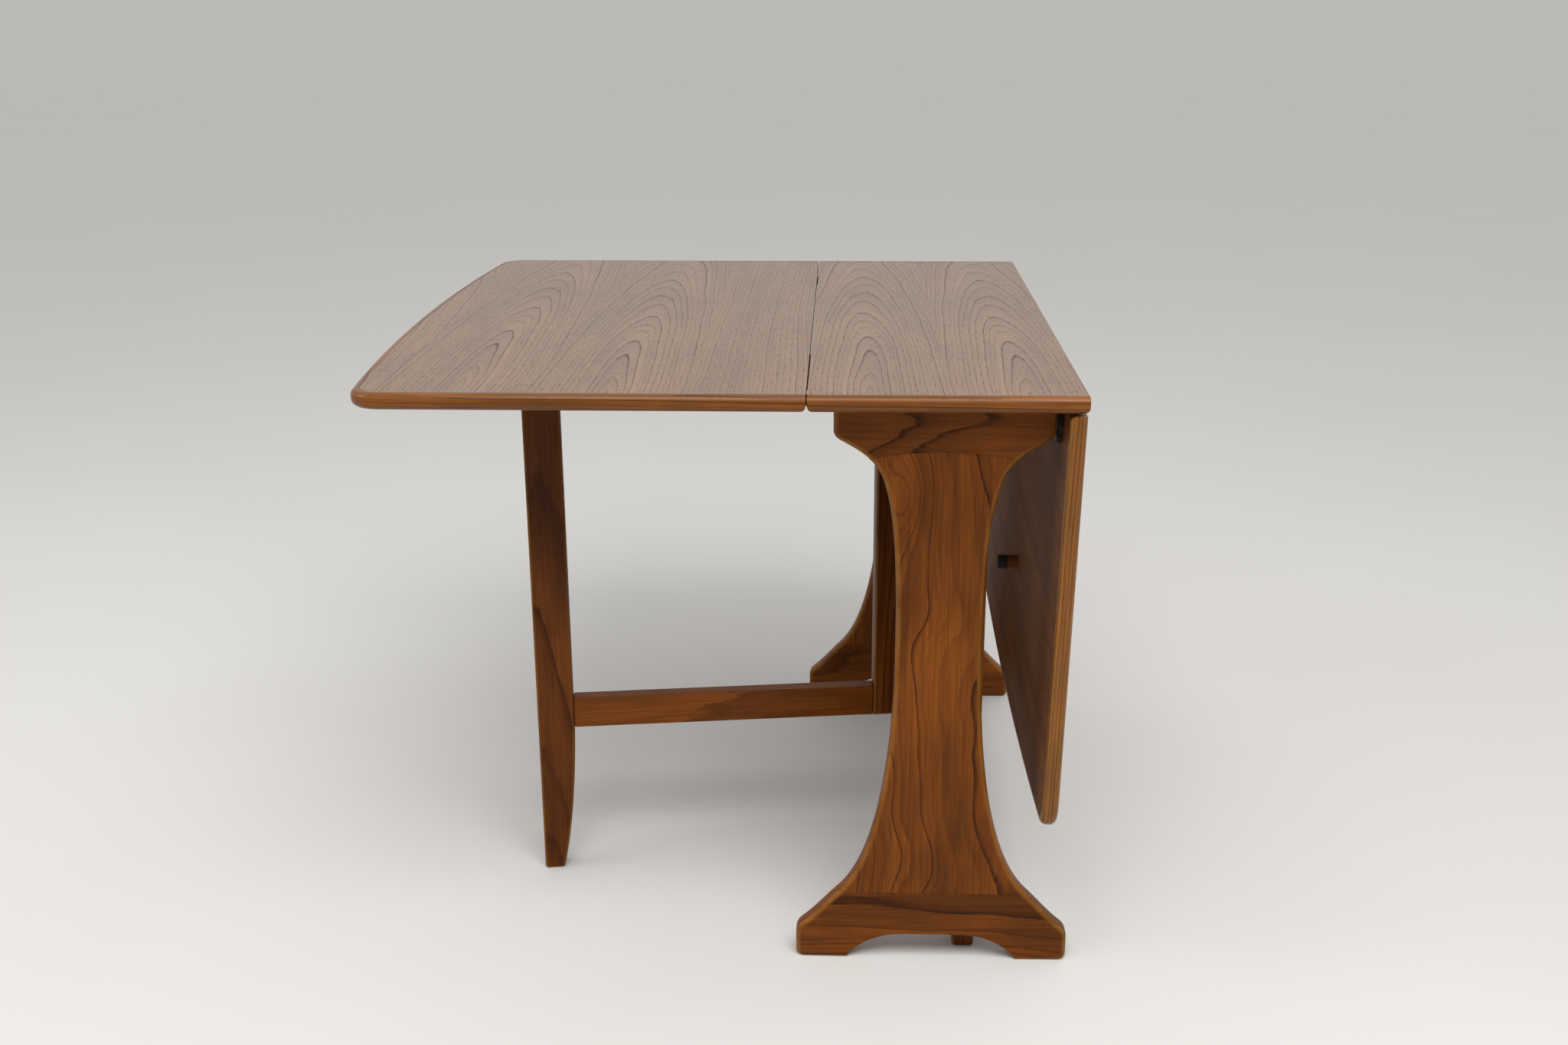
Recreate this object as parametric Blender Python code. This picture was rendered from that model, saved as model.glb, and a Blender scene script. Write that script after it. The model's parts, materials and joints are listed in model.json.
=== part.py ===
# Drop leaf table: two end panels carry a narrow centre top, a leaf hangs on
# each long edge of it, and two gates swing out to hold the leaves up.
# The left leaf is stored up on its open gate and the right leaf hangs.
# Metres, +Z up. X runs across the leaves and Y along their hinge lines.
import math

import bmesh
import bpy
from mathutils import Vector

# Top
table_height = 0.730
table_depth = 0.910
centre_width = 0.308
board_thickness = 0.019
lipping_width = 0.010
edge_radius = 0.0075
joint_gap = 0.0015
joint_arris_radius = 0.008
leaf_reach = 0.529
leaf_bow_sagitta = 0.0175
leaf_bow_half_chord = 0.400
leaf_corner_radius = 0.036

# Leaf hinges
pivot_inset = 0.01075
pivot_drop = 0.00975
leaf_hinge_y = 0.386
hinge_arm_half_width = 0.009
hinge_arm_thickness = 0.00655
hinge_arm_length = 0.0573
hinge_eye_radius = 0.0045
hinge_pin_radius = 0.002
hinge_pin_bore = 0.00215
hinge_neck_half_width = 0.0035
hinge_neck_angle = -43.0
socket_wall = 0.0015
socket_inner_x = 0.1265
socket_outer_x = 0.150
socket_top = 0.7255
screw_head_radius = 0.0036
screw_shank_radius = 0.0017
screw_length = 0.0145
right_leaf_lean = 1.1

# Stop pegs
peg_radius = 0.010
peg_wood_length = 0.014
peg_tip_length = 0.014
peg_seat = 0.008
peg_spigot_radius = 0.005
peg_spigot_length = 0.009
right_peg_reach = 0.314
right_peg_y = -0.040
left_peg_along_gate = 0.467

# End panels
panel_thickness = 0.024
panel_face_y = 0.4103
cleat_half_width = 0.125
cleat_end_bottom = 0.679
cleat_shoulder = (0.110, 0.6635)
cleat_foot_half_width = 0.0855
cleat_foot_height = 0.647
cleat_arc_crown = 0.6555
waist_half_width = 0.0505
upper_waist_height = 0.440
lower_waist_height = 0.420
foot_joint_height = 0.091
foot_joint_half_width = 0.116
foot_shoulder = (0.1565, 0.0495)
foot_tip_height = 0.031
foot_half_width = 0.1675
foot_arch_half_width = 0.104
foot_arch_crown = 0.032
panel_arris_radius = 0.0065

# Rails of the fixed frame
rail_half_width = 0.024
spine_bottom = 0.663
stretcher_bottom = 0.209
stretcher_height = 0.042

# Gates
gate_pivot_x = 0.0285
gate_pivot_y = 0.115
gate_length = 0.497
gate_thickness = 0.027
gate_open_angle = 97.5
leg_top_width = 0.048
leg_foot_width = 0.027
leg_taper_height = 0.205
gate_post_start = 0.005
gate_post_width = 0.040
gate_rail_thickness = 0.021
gate_rail_height = 0.042
gate_upper_rail_bottom = 0.664
gate_arris_radius = 0.0035
tenon_length = 0.015
tenon_shoulder = 0.0045

# Gate hinges
flap_height = 0.036
flap_thickness = 0.0018
flap_length = 0.030
knuckle_radius = 0.004
gate_pin_radius = 0.002
gate_pin_bore = 0.00215
lower_hinge_bottom = 0.2125
upper_hinge_bottom = 0.667

# Two pieces that touch stand this far apart
gap = 0.0003

underside = table_height - board_thickness
half_depth = table_depth / 2
half_centre = centre_width / 2
pivot_x = half_centre - pivot_inset
pivot_z = table_height - pivot_drop
leaf_edge = pivot_inset + joint_gap
leaf_top = pivot_drop
leaf_under = pivot_drop - board_thickness
leaf_outer = leaf_edge + leaf_reach
leaf_span = pivot_x + leaf_outer
centre_offset = (leaf_span - foot_half_width) / 2


def wipe_scene():
    for item in list(bpy.data.objects):
        bpy.data.objects.remove(item, do_unlink=True)


def make_material(name, colour, roughness, metallic=0.0):
    material = bpy.data.materials.new(name)
    material.use_nodes = True
    shader = material.node_tree.nodes["Principled BSDF"]
    shader.inputs["Base Color"].default_value = (*colour, 1.0)
    shader.inputs["Roughness"].default_value = roughness
    shader.inputs["Metallic"].default_value = metallic
    material.diffuse_color = (*colour, 1.0)
    return material


def make_empty(name, location, turn_y=0.0, turn_z=0.0, parent=None):
    empty = bpy.data.objects.new(name, None)
    empty.empty_display_size = 0.05
    empty.location = location
    empty.rotation_euler = (0.0, math.radians(turn_y), math.radians(turn_z))
    empty.parent = parent
    bpy.context.scene.collection.objects.link(empty)
    return empty


def make_object(name, bm, material, parent, location=(0.0, 0.0, 0.0)):
    bmesh.ops.recalc_face_normals(bm, faces=bm.faces)
    mesh = bpy.data.meshes.new(name)
    bm.to_mesh(mesh)
    bm.free()
    mesh.materials.append(material)
    mesh.shade_smooth()
    mesh.set_sharp_from_angle(angle=math.radians(30))
    item = bpy.data.objects.new(name, mesh)
    item.location = location
    item.parent = parent
    bpy.context.scene.collection.objects.link(item)
    return item


def make_cutter(name, bm, parent, location=(0.0, 0.0, 0.0)):
    cutter = make_object(name, bm, materials["cutter"], parent, location)
    cutter.hide_render = True
    cutter.display_type = "WIRE"
    return cutter


def add_boolean(item, other, operation="DIFFERENCE"):
    modifier = item.modifiers.new(other.name, "BOOLEAN")
    modifier.operation = operation
    modifier.solver = "EXACT"
    modifier.object = other


def xz_point(u, w, depth):
    return Vector((u, depth, w))


def xy_point(u, w, depth):
    return Vector((u, w, depth))


def prism(outline, start, end, place):
    """Closed outline pushed from start to end along the axis that place leaves free."""
    bm = bmesh.new()
    low = [bm.verts.new(place(u, w, start)) for u, w in outline]
    high = [bm.verts.new(place(u, w, end)) for u, w in outline]
    bm.faces.new(low)
    bm.faces.new(list(reversed(high)))
    count = len(outline)
    for i in range(count):
        j = (i + 1) % count
        bm.faces.new((low[j], low[i], high[i], high[j]))
    return bm


def box(low, high):
    outline = [(low[0], low[1]), (high[0], low[1]), (high[0], high[1]), (low[0], high[1])]
    return prism(outline, low[2], high[2], xy_point)


def arc(centre, radius, start, end, steps):
    points = []
    for i in range(steps + 1):
        angle = math.radians(start + (end - start) * i / steps)
        points.append((centre[0] + radius * math.cos(angle), centre[1] + radius * math.sin(angle)))
    return points


def bezier(start, handle_a, handle_b, end, steps):
    points = []
    for i in range(steps + 1):
        t = i / steps
        a = (1 - t) ** 3
        b = 3 * (1 - t) ** 2 * t
        c = 3 * (1 - t) * t ** 2
        d = t ** 3
        points.append((
            a * start[0] + b * handle_a[0] + c * handle_b[0] + d * end[0],
            a * start[1] + b * handle_a[1] + c * handle_b[1] + d * end[1],
        ))
    return points


def polar(point, length, angle):
    turn = math.radians(angle)
    return (point[0] + length * math.cos(turn), point[1] + length * math.sin(turn))


def mirrored(points):
    return [(-u, w) for u, w in reversed(points)]


def lathe(profile, segments):
    """Closed turned body round Z; profile runs from axis to axis as (radius, height)."""
    bm = bmesh.new()
    rings = []
    for radius, height in profile:
        if radius == 0.0:
            rings.append([bm.verts.new((0.0, 0.0, height))])
            continue
        ring = []
        for i in range(segments):
            angle = 2 * math.pi * (i + 0.5) / segments
            ring.append(bm.verts.new((radius * math.cos(angle), radius * math.sin(angle), height)))
        rings.append(ring)
    for ring, other in zip(rings, rings[1:]):
        for i in range(segments):
            j = (i + 1) % segments
            if len(ring) == 1:
                bm.faces.new((ring[0], other[i], other[j]))
            elif len(other) == 1:
                bm.faces.new((ring[j], ring[i], other[0]))
            else:
                bm.faces.new((ring[j], ring[i], other[i], other[j]))
    return bm


def loft(path_at, profile):
    """Band whose cross-section is profile, (inset, height), swept along path_at(inset)."""
    bm = bmesh.new()
    strips = []
    for inset, height in profile:
        strips.append([bm.verts.new((x, y, height)) for x, y in path_at(inset)])
    for i, strip in enumerate(strips):
        other = strips[(i + 1) % len(strips)]
        for k in range(len(strip) - 1):
            bm.faces.new((strip[k], strip[k + 1], other[k + 1], other[k]))
    bm.faces.new([strip[0] for strip in strips])
    bm.faces.new([strip[-1] for strip in reversed(strips)])
    return bm


def near(a, b):
    return abs(a - b) < 1e-5


def inward_miters(outline):
    """Offset at each corner that sets both of its sides in by one unit; outline runs clockwise."""
    count = len(outline)
    miters = []
    for i in range(count):
        here = Vector(outline[i])
        before = (here - Vector(outline[i - 1])).normalized()
        after = (Vector(outline[(i + 1) % count]) - here).normalized()
        first = Vector((before.y, -before.x))
        second = Vector((after.y, -after.x))
        miters.append((first + second) / (1.0 + first.dot(second)))
    return miters


def rounded_prism(outline, offsets, low, high, radius, steps):
    """Prism along Y whose front and back arrises are rounded where offsets isn't zero."""
    front = arc((radius, low + radius), radius, 270, 180, steps)
    back = arc((radius, high - radius), radius, 180, 90, steps)
    bm = bmesh.new()
    rings = []
    for inset, depth in front + back:
        ring = []
        for point, offset in zip(outline, offsets):
            ring.append(bm.verts.new((point[0] + inset * offset[0], depth, point[1] + inset * offset[1])))
        rings.append(ring)
    count = len(outline)
    for ring, other in zip(rings, rings[1:]):
        for i in range(count):
            j = (i + 1) % count
            bm.faces.new((ring[j], ring[i], other[i], other[j]))
    bm.faces.new(rings[0])
    bm.faces.new(list(reversed(rings[-1])))
    return bm


def rounded_edge_profile(bottom, top):
    """Lipping section: square against the board, rounded top and bottom outside."""
    upper = arc((edge_radius, top - edge_radius), edge_radius, 90, 180, 4)
    lower = arc((edge_radius, bottom + edge_radius), edge_radius, 180, 270, 4)
    return [(lipping_width, top)] + upper + lower + [(lipping_width, bottom)]


def arris_cutter_outline(edge, under, side):
    """Everything outside the rounded lower arris at a hinge edge; side is +1 or -1."""
    radius = joint_arris_radius
    centre = (edge + side * radius, under + radius)
    start = -90
    end = -180 if side > 0 else 0
    curve = arc(centre, radius, start, end, 6)
    clear = side * -0.002
    return [(edge + side * radius, under - 0.002)] + curve + [
        (edge + clear, under + radius),
        (edge + clear, under - 0.002),
    ]


# ---- leaf boards ----

def leaf_path(inset):
    """Outer outline of a leaf, set in by inset, from one hinge corner to the other."""
    bow_radius = (leaf_bow_half_chord ** 2 + leaf_bow_sagitta ** 2) / (2 * leaf_bow_sagitta)
    bow_centre = leaf_outer - bow_radius
    corner_y = half_depth - leaf_corner_radius
    corner_x = bow_centre + math.sqrt((bow_radius - leaf_corner_radius) ** 2 - corner_y ** 2)
    turn = math.degrees(math.atan2(corner_y, corner_x - bow_centre))
    corner = arc((corner_x, -corner_y), leaf_corner_radius - inset, -90, -turn, 7)
    bow = arc((bow_centre, 0.0), bow_radius - inset, -turn, turn, 14)
    other = arc((corner_x, corner_y), leaf_corner_radius - inset, turn, 90, 7)
    start = (leaf_edge, -half_depth + inset)
    end = (leaf_edge, half_depth - inset)
    return [start] + corner + bow[1:-1] + other + [end]


def build_leaf(side, pivot, peg_place):
    board = make_object(
        side + "_leaf_board",
        prism(leaf_path(lipping_width + gap), leaf_under, leaf_top, xy_point),
        materials["veneer"],
        pivot,
    )
    lipping = make_object(
        side + "_leaf_lipping",
        loft(leaf_path, rounded_edge_profile(leaf_under, leaf_top)),
        materials["lipping"],
        pivot,
    )
    outline = arris_cutter_outline(leaf_edge, leaf_under, 1)
    arris = make_cutter(
        side + "_leaf_arris_cutter",
        prism(outline, -half_depth - 0.01, half_depth + 0.01, xz_point),
        pivot,
    )
    add_boolean(board, arris)
    add_boolean(lipping, arris)
    for end, y in (("front", -leaf_hinge_y), ("rear", leaf_hinge_y)):
        build_hinge_arm(side, end, y, pivot, board)
    build_peg(side, pivot, board, peg_place)


def hinge_arm_outline():
    top = leaf_under - gap
    bottom = top - hinge_arm_thickness
    turn = math.degrees(math.asin(hinge_neck_half_width / hinge_eye_radius))
    eye = arc((0.0, 0.0), hinge_eye_radius, hinge_neck_angle + turn, hinge_neck_angle + 360 - turn, 12)
    slope = math.tan(math.radians(hinge_neck_angle))
    upper_x = eye[0][0] + (top - eye[0][1]) / slope
    lower_x = eye[-1][0] + (bottom - eye[-1][1]) / slope
    return [
        (hinge_arm_length, top),
        (upper_x, top),
    ] + eye + [
        (lower_x, bottom),
        (hinge_arm_length - 0.003, bottom),
        (hinge_arm_length, bottom + 0.003),
    ]


def screw_profile(extra):
    """Countersunk screw, point up, with its head at z = 0."""
    return [
        (0.0, -extra),
        (screw_head_radius + extra, -extra),
        (screw_head_radius + extra, 0.0004),
        (screw_shank_radius + extra, 0.0024),
        (screw_shank_radius + extra, screw_length - 0.003 + extra),
        (0.0, screw_length + extra),
    ]


def build_hinge_arm(side, end, y, pivot, board):
    name = side + "_leaf_hinge_arm_" + end
    half = hinge_arm_half_width
    arm = make_object(
        name,
        prism(hinge_arm_outline(), -half, half, xz_point),
        materials["hinge_metal"],
        pivot,
        (0.0, y, 0.0),
    )
    bore = lathe([(0.0, -0.02), (hinge_pin_bore, -0.02), (hinge_pin_bore, 0.02), (0.0, 0.02)], 24)
    bore_cutter = make_cutter(name + "_bore_cutter", bore, pivot, (0.0, y, 0.0))
    bore_cutter.rotation_euler = (math.radians(90), 0.0, 0.0)
    add_boolean(arm, bore_cutter)
    head = leaf_under - gap - hinge_arm_thickness + 0.0002
    for number, x in ((1, 0.029), (2, 0.047)):
        place = (x, y, head)
        hole = make_cutter(f"{name}_hole_cutter_{number}", lathe(screw_profile(gap), 16), pivot, place)
        add_boolean(arm, hole)
        add_boolean(board, hole)
        make_object(
            f"{side}_leaf_screw_{end}_{number}",
            lathe(screw_profile(0.0), 16),
            materials["brass"],
            pivot,
            place,
        )


def build_peg(side, pivot, board, place):
    shoulder = leaf_under - peg_wood_length
    spigot = shoulder - peg_spigot_length
    wood = lathe([
        (0.0, spigot),
        (peg_spigot_radius, spigot),
        (peg_spigot_radius, shoulder),
        (peg_radius, shoulder),
        (peg_radius, leaf_under + peg_seat),
        (0.0, leaf_under + peg_seat),
    ], 24)
    x, y = place
    make_object(side + "_stop_peg", wood, materials["peg_wood"], pivot, (x, y, 0.0))
    tip_top = shoulder - gap
    tip_bottom = shoulder - peg_tip_length
    bore_radius = peg_spigot_radius + gap
    bore_end = spigot - gap
    tip = lathe([
        (0.0, tip_bottom),
        (peg_radius - 0.0015, tip_bottom),
        (peg_radius, tip_bottom + 0.0015),
        (peg_radius, tip_top),
        (bore_radius, tip_top),
        (bore_radius, bore_end),
        (0.0, bore_end),
    ], 24)
    make_object(side + "_stop_peg_tip", tip, materials["rubber"], pivot, (x, y, 0.0))
    seat_radius = peg_radius + gap
    seat = lathe([
        (0.0, leaf_under - 0.005),
        (seat_radius, leaf_under - 0.005),
        (seat_radius, leaf_under + peg_seat + gap),
        (0.0, leaf_under + peg_seat + gap),
    ], 24)
    add_boolean(board, make_cutter(side + "_peg_seat_cutter", seat, pivot, (x, y, 0.0)))


# ---- centre top ----

def centre_end_path(side):
    def path_at(inset):
        y = side * (half_depth - inset)
        return [(-side * half_centre, y), (side * half_centre, y)]
    return path_at


def build_centre(root):
    board_end = half_depth - lipping_width - gap
    board = make_object(
        "centre_board",
        box((-half_centre, -board_end, underside), (half_centre, board_end, table_height)),
        materials["veneer"],
        root,
    )
    lippings = []
    for end, side in (("front", -1), ("rear", 1)):
        lippings.append(make_object(
            "centre_lipping_" + end,
            loft(centre_end_path(side), rounded_edge_profile(underside, table_height)),
            materials["lipping"],
            root,
        ))
    for name, side in (("left", -1), ("right", 1)):
        outline = arris_cutter_outline(side * half_centre, underside, -side)
        arris = make_cutter(
            f"centre_{name}_arris_cutter",
            prism(outline, -half_depth - 0.01, half_depth + 0.01, xz_point),
            root,
        )
        for item in [board] + lippings:
            add_boolean(item, arris)
        for end, y in (("front", -leaf_hinge_y), ("rear", leaf_hinge_y)):
            build_hinge_socket(name, end, side, y, root, board)


def build_hinge_socket(name, end, side, y, root, board):
    inner = hinge_arm_half_width + gap
    outer = inner + socket_wall
    far = socket_inner_x + socket_wall
    bracket_plan = [
        (socket_inner_x, -outer),
        (socket_outer_x, -outer),
        (socket_outer_x, -inner),
        (far, -inner),
        (far, inner),
        (socket_outer_x, inner),
        (socket_outer_x, outer),
        (socket_inner_x, outer),
    ]
    plan = [(side * u, w) for u, w in bracket_plan]
    bracket = make_object(
        f"{name}_hinge_socket_{end}",
        prism(plan, underside + gap, socket_top, xy_point),
        materials["hinge_metal"],
        root,
        (0.0, y, 0.0),
    )
    pin_half = outer - 0.0004
    pin = lathe([
        (0.0, -pin_half),
        (hinge_pin_radius, -pin_half),
        (hinge_pin_radius, pin_half),
        (0.0, pin_half),
    ], 24)
    pin_body = make_cutter(f"{name}_hinge_pin_{end}_cutter", pin, root, (side * pivot_x, y, pivot_z))
    pin_body.rotation_euler = (math.radians(90), 0.0, 0.0)
    add_boolean(bracket, pin_body, "UNION")
    slot_side = outer + gap
    mouth = pivot_z - 0.00125
    slot = [
        (socket_inner_x - gap, underside - 0.01),
        (socket_inner_x - gap, socket_top + gap),
        (socket_outer_x + gap, socket_top + gap),
        (socket_outer_x + gap, mouth),
        (half_centre + 0.003, mouth),
        (half_centre + 0.003, underside - 0.01),
    ]
    slot = [(side * u, w) for u, w in slot]
    cutter = make_cutter(
        f"{name}_hinge_slot_{end}_cutter",
        prism(slot, y - slot_side, y + slot_side, xz_point),
        root,
    )
    add_boolean(board, cutter)


# ---- end panels ----

def cleat_side():
    """Right side of the cleat from the top of its end down to the post joint."""
    start = (cleat_half_width, cleat_end_bottom)
    shoulder = cleat_shoulder
    end = (cleat_foot_half_width, cleat_foot_height)
    corner = bezier(start, polar(start, 0.009, -90), polar(shoulder, 0.008, 30), shoulder, 6)
    slope = bezier(shoulder, polar(shoulder, 0.010, 210), polar(end, 0.010, 42), end, 5)
    return corner + slope[1:]


def post_side():
    """Right side of the post from the cleat joint down to the foot joint."""
    top = (cleat_foot_half_width, cleat_foot_height)
    upper = (waist_half_width, upper_waist_height)
    lower = (waist_half_width, lower_waist_height)
    foot = (foot_joint_half_width, foot_joint_height)
    flare = bezier(top, polar(top, 0.015, 230), polar(upper, 0.190, 90), upper, 10)
    spread = bezier(lower, polar(lower, 0.130, -90), polar(foot, 0.070, 136), foot, 12)
    return flare + spread


def foot_side():
    """Right side of the foot from the post joint down to the floor."""
    joint = (foot_joint_half_width, foot_joint_height)
    shoulder = foot_shoulder
    tip = (foot_half_width, foot_tip_height)
    slope = bezier(joint, polar(joint, 0.016, -44), polar(shoulder, 0.016, 140), shoulder, 5)
    toe = bezier(shoulder, polar(shoulder, 0.009, -40), polar(tip, 0.009, 90), tip, 5)
    return slope[1:] + toe[1:] + [(foot_half_width, 0.0)]


def foot_arch():
    """Underside of the foot from right to left between its two pads."""
    right = (foot_arch_half_width, 0.0)
    crown = (0.034, foot_arch_crown)
    half = bezier(right, polar(right, 0.024, 125), polar(crown, 0.030, 0), crown, 8)
    return half + mirrored(half)


def joint_arc(drop):
    """Curved joint between cleat and post, right to left, run on past both sides."""
    rise = cleat_arc_crown - cleat_foot_height
    half = cleat_foot_half_width
    radius = (half ** 2 + rise ** 2) / (2 * rise)
    turn = math.degrees(math.asin((half + 0.008) / radius))
    centre = (0.0, cleat_arc_crown - drop - radius)
    curve = arc(centre, radius, 90 - turn, 90 + turn, 12)
    return [(0.2, curve[0][1])] + curve + [(-0.2, curve[-1][1])]


def panel_blank(low, high):
    """Whole end panel with its arrises rounded, before it is parted at the joints."""
    top = underside - gap
    side = [(cleat_half_width, top)] + cleat_side() + post_side()[1:] + foot_side()
    outline = side + foot_arch() + mirrored(side)
    offsets = inward_miters(outline)
    for i, (u, w) in enumerate(outline):
        if near(w, top) or near(w, 0.0):
            offsets[i] = (-math.copysign(1.0, u), 0.0)
        if abs(u) < foot_arch_half_width + 0.001 and w < 0.04:
            offsets[i] = (0.0, 0.0)
    return rounded_prism(outline, offsets, low, high, panel_arris_radius, 4)


def build_panel(end, side, root):
    outer = side * panel_face_y
    inner = side * (panel_face_y - panel_thickness)
    low = min(outer, inner)
    high = max(outer, inner)
    wide = (low - 0.01, high + 0.01)
    post_top = joint_arc(gap)
    cutters = {
        "below_cleat": prism(joint_arc(0.0) + [(-0.2, -0.1), (0.2, -0.1)], *wide, xz_point),
        "above_post": prism(post_top + [(-0.2, 0.8), (0.2, 0.8)], *wide, xz_point),
        "below_post": box((-0.2, wide[0], -0.1), (0.2, wide[1], foot_joint_height + gap)),
        "above_foot": box((-0.2, wide[0], foot_joint_height), (0.2, wide[1], 0.8)),
    }
    for name, body in cutters.items():
        cutters[name] = make_cutter(f"{end}_{name}_cutter", body, root)
    for piece, material, cuts in (
        ("cleat", "rail_wood", ["below_cleat"]),
        ("post", "post_wood", ["above_post", "below_post"]),
        ("foot", "rail_wood", ["above_foot"]),
    ):
        item = make_object(f"{end}_panel_{piece}", panel_blank(low, high), materials[material], root)
        for cut in cuts:
            add_boolean(item, cutters[cut])


# ---- rails between the panels ----

def tenoned_rail(length, thickness, bottom, height):
    """Rail along X from 0 to length, centred on y = 0, with a stub tenon at each end."""
    bm = box((0.0, -thickness / 2, bottom), (length, thickness / 2, bottom + height))
    bmesh.ops.recalc_face_normals(bm, faces=bm.faces)
    for end, step in ((0.0, -tenon_length), (length, tenon_length)):
        face = [f for f in bm.faces if all(near(v.co.x, end) for v in f.verts)]
        bmesh.ops.inset_region(bm, faces=face, thickness=tenon_shoulder, use_even_offset=True)
        pushed = bmesh.ops.extrude_discrete_faces(bm, faces=face)
        moved = {v for f in pushed["faces"] for v in f.verts}
        bmesh.ops.translate(bm, verts=list(moved), vec=(step, 0.0, 0.0))
    return bm


def mortise(thickness, bottom, height, start, end):
    half = thickness / 2 - tenon_shoulder + gap
    low = (start, -half, bottom + tenon_shoulder - gap)
    high = (end, half, bottom + height - tenon_shoulder + gap)
    return box(low, high)


def build_spine(root, name, bottom, height, posts):
    inner = panel_face_y - panel_thickness
    length = 2 * (inner - gap)
    rail = make_object(
        name,
        tenoned_rail(length, 2 * rail_half_width, bottom, height),
        materials["rail_wood"],
        root,
        (0.0, -inner + gap, 0.0),
    )
    rail.rotation_euler = (0.0, 0.0, math.radians(90))
    for end, post in zip(("front", "rear"), posts):
        turn = -90 if end == "front" else 90
        hole = mortise(2 * rail_half_width, bottom, height, inner - 0.002, inner + tenon_length + gap)
        cutter = make_cutter(f"{name}_{end}_mortise_cutter", hole, root)
        cutter.rotation_euler = (0.0, 0.0, math.radians(turn))
        add_boolean(post, cutter)


# ---- gates ----

def rounded_upright(outline):
    """Upright of a gate with its four long arrises rounded."""
    middle = (min(u for u, w in outline if near(w, outline[-1][1])) + outline[-1][0]) / 2
    offsets = inward_miters(outline)
    low = min(w for u, w in outline)
    high = max(w for u, w in outline)
    for i, (u, w) in enumerate(outline):
        if near(w, low) or near(w, high):
            offsets[i] = (math.copysign(1.0, middle - u), 0.0)
    return rounded_prism(outline, offsets, 0.0, gate_thickness, gate_arris_radius, 3)


def leg_outline():
    """Clockwise from the foot's inner corner: the taper, the top and the straight outer side."""
    inner = gate_length - leg_top_width
    foot = gate_length - leg_foot_width
    shoulder = (inner, leg_taper_height)
    taper = bezier((foot, 0.0), (inner + 0.010, 0.050), (inner + 0.002, 0.120), shoulder, 8)
    top = underside - gap
    return taper + [(inner, top), (gate_length, top), (gate_length, 0.0)]


def build_gate(side, pivot):
    middle = gate_thickness / 2
    top = underside - gap
    leg_inner = gate_length - leg_top_width
    post_end = gate_post_start + gate_post_width
    leg = make_object(side + "_gate_leg", rounded_upright(leg_outline()), materials["leg_wood"], pivot)
    post_outline = [
        (gate_post_start, stretcher_bottom),
        (gate_post_start, top),
        (post_end, top),
        (post_end, stretcher_bottom),
    ]
    post = make_object(side + "_gate_post", rounded_upright(post_outline), materials["leg_wood"], pivot)
    length = leg_inner - post_end - 2 * gap
    for level, bottom in (("lower", stretcher_bottom), ("upper", gate_upper_rail_bottom)):
        make_object(
            f"{side}_gate_{level}_rail",
            tenoned_rail(length, gate_rail_thickness, bottom, gate_rail_height),
            materials["rail_wood"],
            pivot,
            (post_end + gap, middle, 0.0),
        )
        for item, start, end in (
            (leg, leg_inner - 0.004, leg_inner + tenon_length),
            (post, post_end - tenon_length, post_end + 0.004),
        ):
            hole = mortise(gate_rail_thickness, bottom, gate_rail_height, start, end)
            cutter = make_cutter(f"{item.name}_{level}_mortise_cutter", hole, pivot, (0.0, middle, 0.0))
            add_boolean(item, cutter)


def cylinder_between(radius, low, high):
    return lathe([(0.0, low), (radius, low), (radius, high), (0.0, high)], 24)


def build_gate_hinge(side, level, bottom, fixed_frame, pivot):
    third = flap_height / 3
    top = bottom + flap_height
    name = f"{side}_gate_hinge_{level}"

    rail_face = gate_pivot_x - rail_half_width
    plate_low = -rail_face + gap
    plate_high = plate_low + flap_thickness
    plate = box((-flap_length, plate_low, bottom), (-0.0005, plate_high, top))
    fixed = make_object(name + "_fixed_flap", plate, materials["hinge_metal"], fixed_frame)
    for part, low, high, radius in (
        ("lower_knuckle", bottom, bottom + third - gap, knuckle_radius),
        ("upper_knuckle", top - third + gap, top, knuckle_radius),
        ("pin", bottom + 0.001, top - 0.001, gate_pin_radius),
    ):
        piece = make_cutter(f"{name}_{part}_cutter", cylinder_between(radius, low, high), fixed_frame)
        add_boolean(fixed, piece, "UNION")
    relief = box(
        (-knuckle_radius - 0.0005, plate_low - 0.001, bottom + third - gap),
        (0.001, -gate_pin_radius - 0.0002, top - third + gap),
    )
    add_boolean(fixed, make_cutter(name + "_relief_cutter", relief, fixed_frame))

    leaf = box((0.0, -flap_thickness - gap, bottom), (flap_length, -gap, top))
    moving = make_object(name + "_moving_flap", leaf, materials["hinge_metal"], pivot)
    barrel = cylinder_between(knuckle_radius, bottom + third, top - third)
    barrel_piece = make_cutter(f"{name}_barrel_cutter", barrel, pivot)
    bore = cylinder_between(gate_pin_bore, bottom - 0.001, top + 0.001)
    bore_piece = make_cutter(f"{name}_bore_cutter", bore, pivot)
    clear = knuckle_radius + gap
    for part, low, high in (
        ("lower", bottom - 0.001, bottom + third),
        ("upper", top - third, top + 0.001),
    ):
        piece = make_cutter(f"{name}_{part}_clear_cutter", cylinder_between(clear, low, high), pivot)
        add_boolean(moving, piece)
    add_boolean(moving, barrel_piece, "UNION")
    add_boolean(moving, bore_piece)


wipe_scene()

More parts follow.
